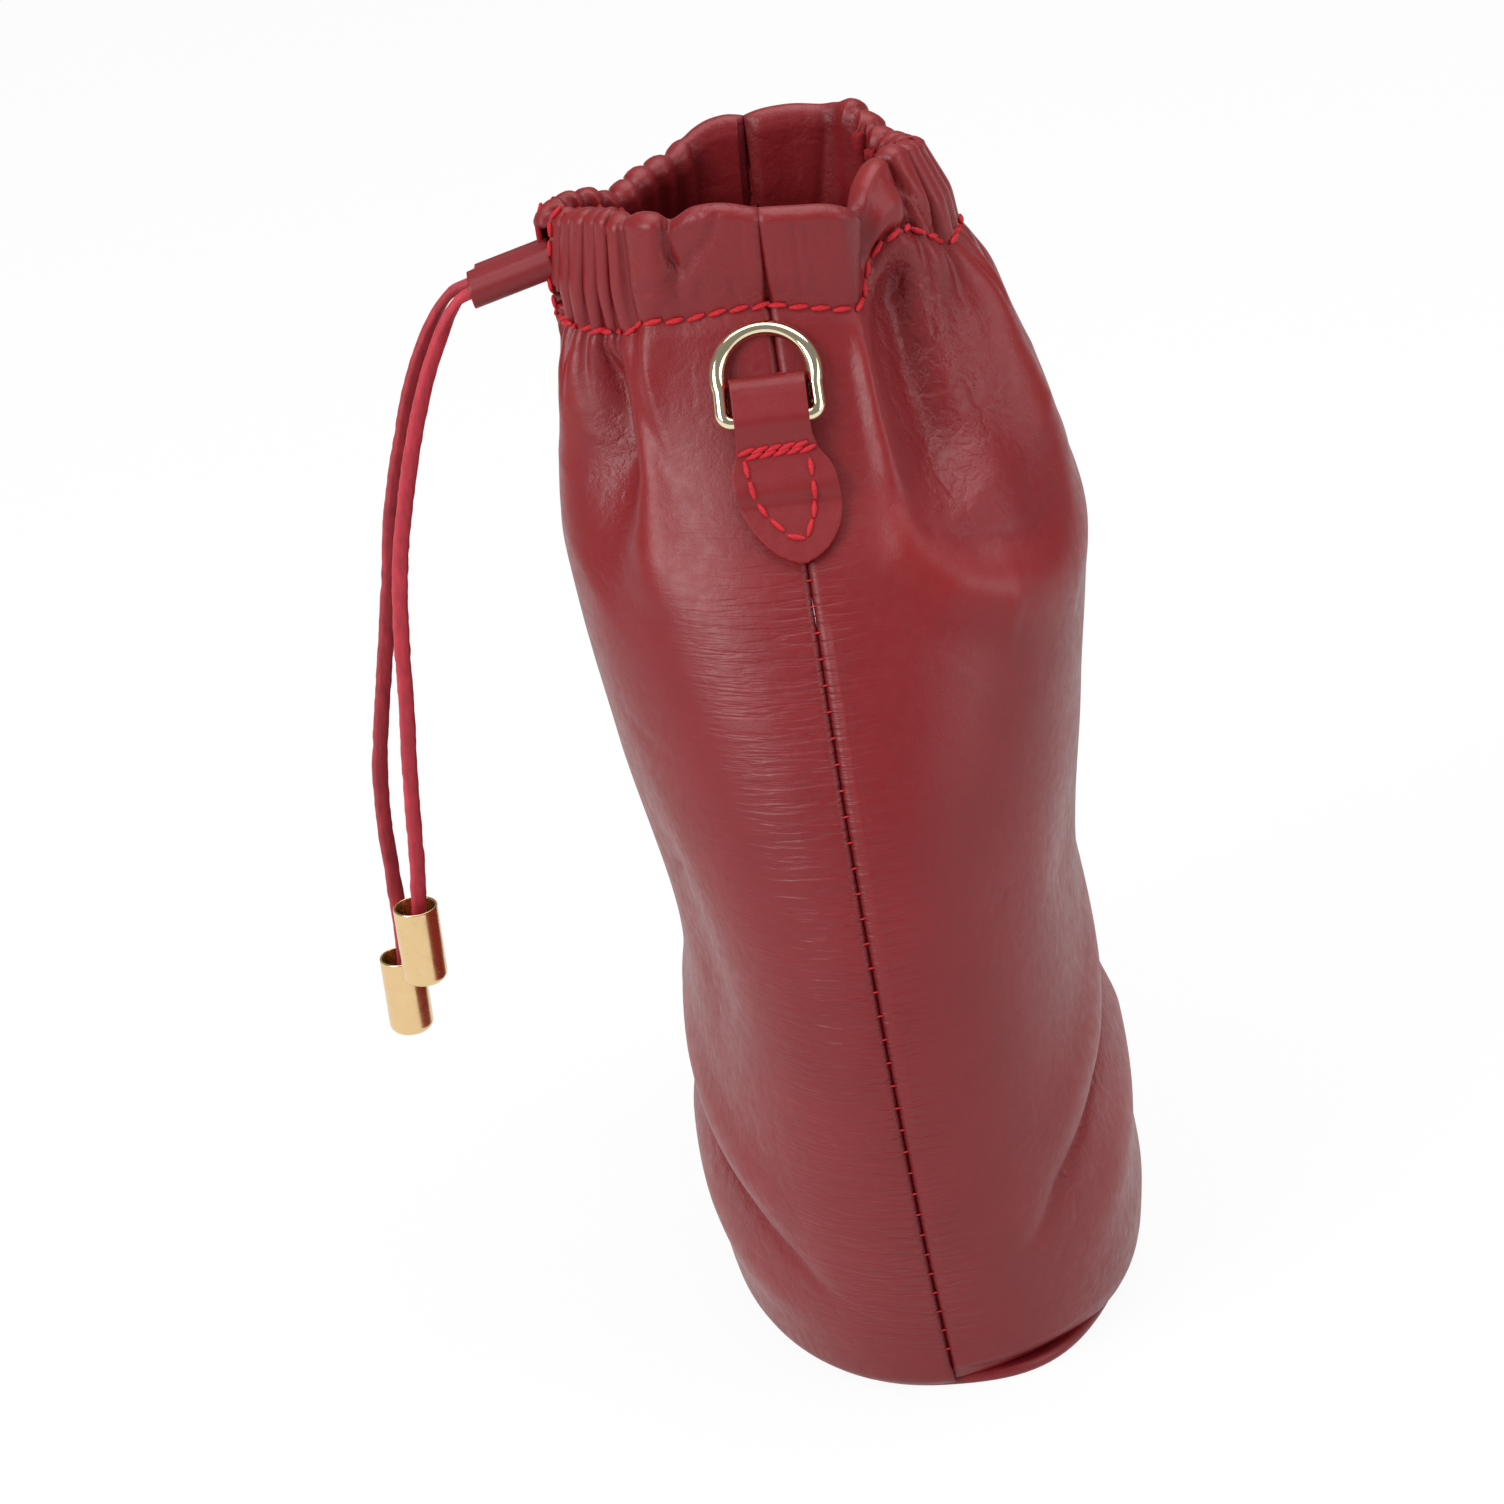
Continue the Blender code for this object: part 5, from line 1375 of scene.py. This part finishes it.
def make_cup(name, node, lace_end, finish):
    """Turned metal cup round a lace's end."""
    foot = np.array(lace_end) - np.array([0.0, 0.0, CUP_FLOOR + 0.3])
    profile = [(0.0, 0.0), ((CUP_RADIUS - CUP_FOOT) * 0.6, 0.0)]
    for turn in np.radians(np.linspace(-90.0, 0.0, 7)):
        profile.append((CUP_RADIUS - CUP_FOOT + CUP_FOOT * math.cos(turn), CUP_FOOT + CUP_FOOT * math.sin(turn)))
    profile += [(CUP_RADIUS, CUP_LENGTH * 0.5), (CUP_RADIUS, CUP_LENGTH - 0.25)]
    for turn in np.radians(np.linspace(0.0, 180.0, 7)):
        profile.append((CUP_RADIUS - CUP_WALL / 2.0 + CUP_WALL / 2.0 * math.cos(turn), CUP_LENGTH - 0.25 + 0.25 * math.sin(turn)))
    profile += [(CUP_RADIUS - CUP_WALL, CUP_LENGTH * 0.5), (CUP_RADIUS - CUP_WALL, CUP_FLOOR), (0.0, CUP_FLOOR)]
    builder = bmesh.new()
    verts = [builder.verts.new((foot[0] * MM + r * MM, foot[1] * MM, (foot[2] + z) * MM)) for r, z in profile]
    edges = [builder.edges.new(pair) for pair in zip(verts[:-1], verts[1:])]
    bmesh.ops.spin(
        builder, geom=verts + edges, cent=tuple(foot * MM), axis=(0.0, 0.0, 1.0),
        angle=2.0 * math.pi, steps=64, use_merge=True,
    )
    bmesh.ops.remove_doubles(builder, verts=builder.verts, dist=0.01 * MM)
    bmesh.ops.recalc_face_normals(builder, faces=builder.faces)
    made = finish_piece(name, builder, finish)
    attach(made, "slider")
    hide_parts(node)
    return made


front_cup = make_cup("lace_cup_front", "ferrule_front", front_hang[-1], warm_gold)
back_cup = make_cup("lace_cup_back", "ferrule_back", back_hang[-1], warm_gold)

# %% [markdown]
# ## The lace's length
# Each free end's place is baked into its points, its length is printed, and the CAD lace
# is hidden.

def line_length(line):
    """Length of a run of points."""
    return float(np.linalg.norm(np.diff(line, axis=0), axis=1).sum())


for lace, line, cup in ((front_lace, front_line, front_cup), (back_lace, back_line, back_cup)):
    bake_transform(lace)
    print(lace.name, "is", round(line_length(line) / MM), "mm long")
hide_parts("drawcord")

# %% [markdown]
# ## Floor and light
# The pouch stands on a plain white floor under large soft lights, with the brightest
# one high at the front. Camera rays see the floor almost white, so the soft contact
# shadow is all that is left of it.

# %% Floor
def make_floor():
    """White floor that keeps a soft shadow."""
    mesh = bmesh.new()
    bmesh.ops.create_grid(mesh, x_segments=1, y_segments=1, size=4.0)
    finish, tree, shader = new_material("white floor")
    shader.inputs["Base Color"].default_value = (0.86, 0.86, 0.86, 1.0)
    shader.inputs["Roughness"].default_value = 0.9
    glow = tree.nodes.new("ShaderNodeEmission")
    seen = tree.nodes.new("ShaderNodeLightPath")
    blend_node = tree.nodes.new("ShaderNodeMixShader")
    plain = add_math(tree, "MAXIMUM", seen.outputs["Is Camera Ray"], seen.outputs["Is Glossy Ray"])
    plain = add_math(tree, "MAXIMUM", plain, seen.outputs["Is Transmission Ray"])
    share = add_math(tree, "MULTIPLY", plain, 0.93)
    tree.links.new(share, blend_node.inputs["Fac"])
    tree.links.new(shader.outputs["BSDF"], blend_node.inputs[1])
    tree.links.new(glow.outputs["Emission"], blend_node.inputs[2])
    tree.links.new(blend_node.outputs["Shader"], tree.nodes["Material Output"].inputs["Surface"])
    floor = finish_piece("floor", mesh, finish)
    return floor


make_floor()


# %% Lights
def add_light(name, place, aim, size, watts):
    """Large soft area light."""
    lamp = bpy.data.lights.new(name, "AREA")
    lamp.shape = "RECTANGLE"
    lamp.size, lamp.size_y = size
    lamp.energy = watts
    made = bpy.data.objects.new(name, lamp)
    made.location = place
    made.rotation_euler = (Vector(aim) - Vector(place)).to_track_quat("-Z", "Y").to_euler()
    bpy.context.scene.collection.objects.link(made)
    return made


add_light("front softbox", (0.75, -0.95, 0.85), (0.0, 0.0, 0.10), (0.7, 0.9), 15.0)
add_light("top softbox", (-0.10, 0.10, 1.15), (0.0, 0.0, 0.10), (1.1, 1.1), 11.0)
add_light("back softbox", (0.55, 1.05, 0.55), (0.0, 0.0, 0.10), (0.7, 0.8), 5.0)

world = bpy.data.worlds.new("studio")
bpy.context.scene.world = world
world.use_nodes = True
world_tree = world.node_tree
surroundings = world_tree.nodes["Background"]
surroundings.inputs["Color"].default_value = (1.0, 1.0, 1.0, 1.0)
surroundings.inputs["Strength"].default_value = 0.26
bpy.context.scene.view_settings.view_transform = "Standard"
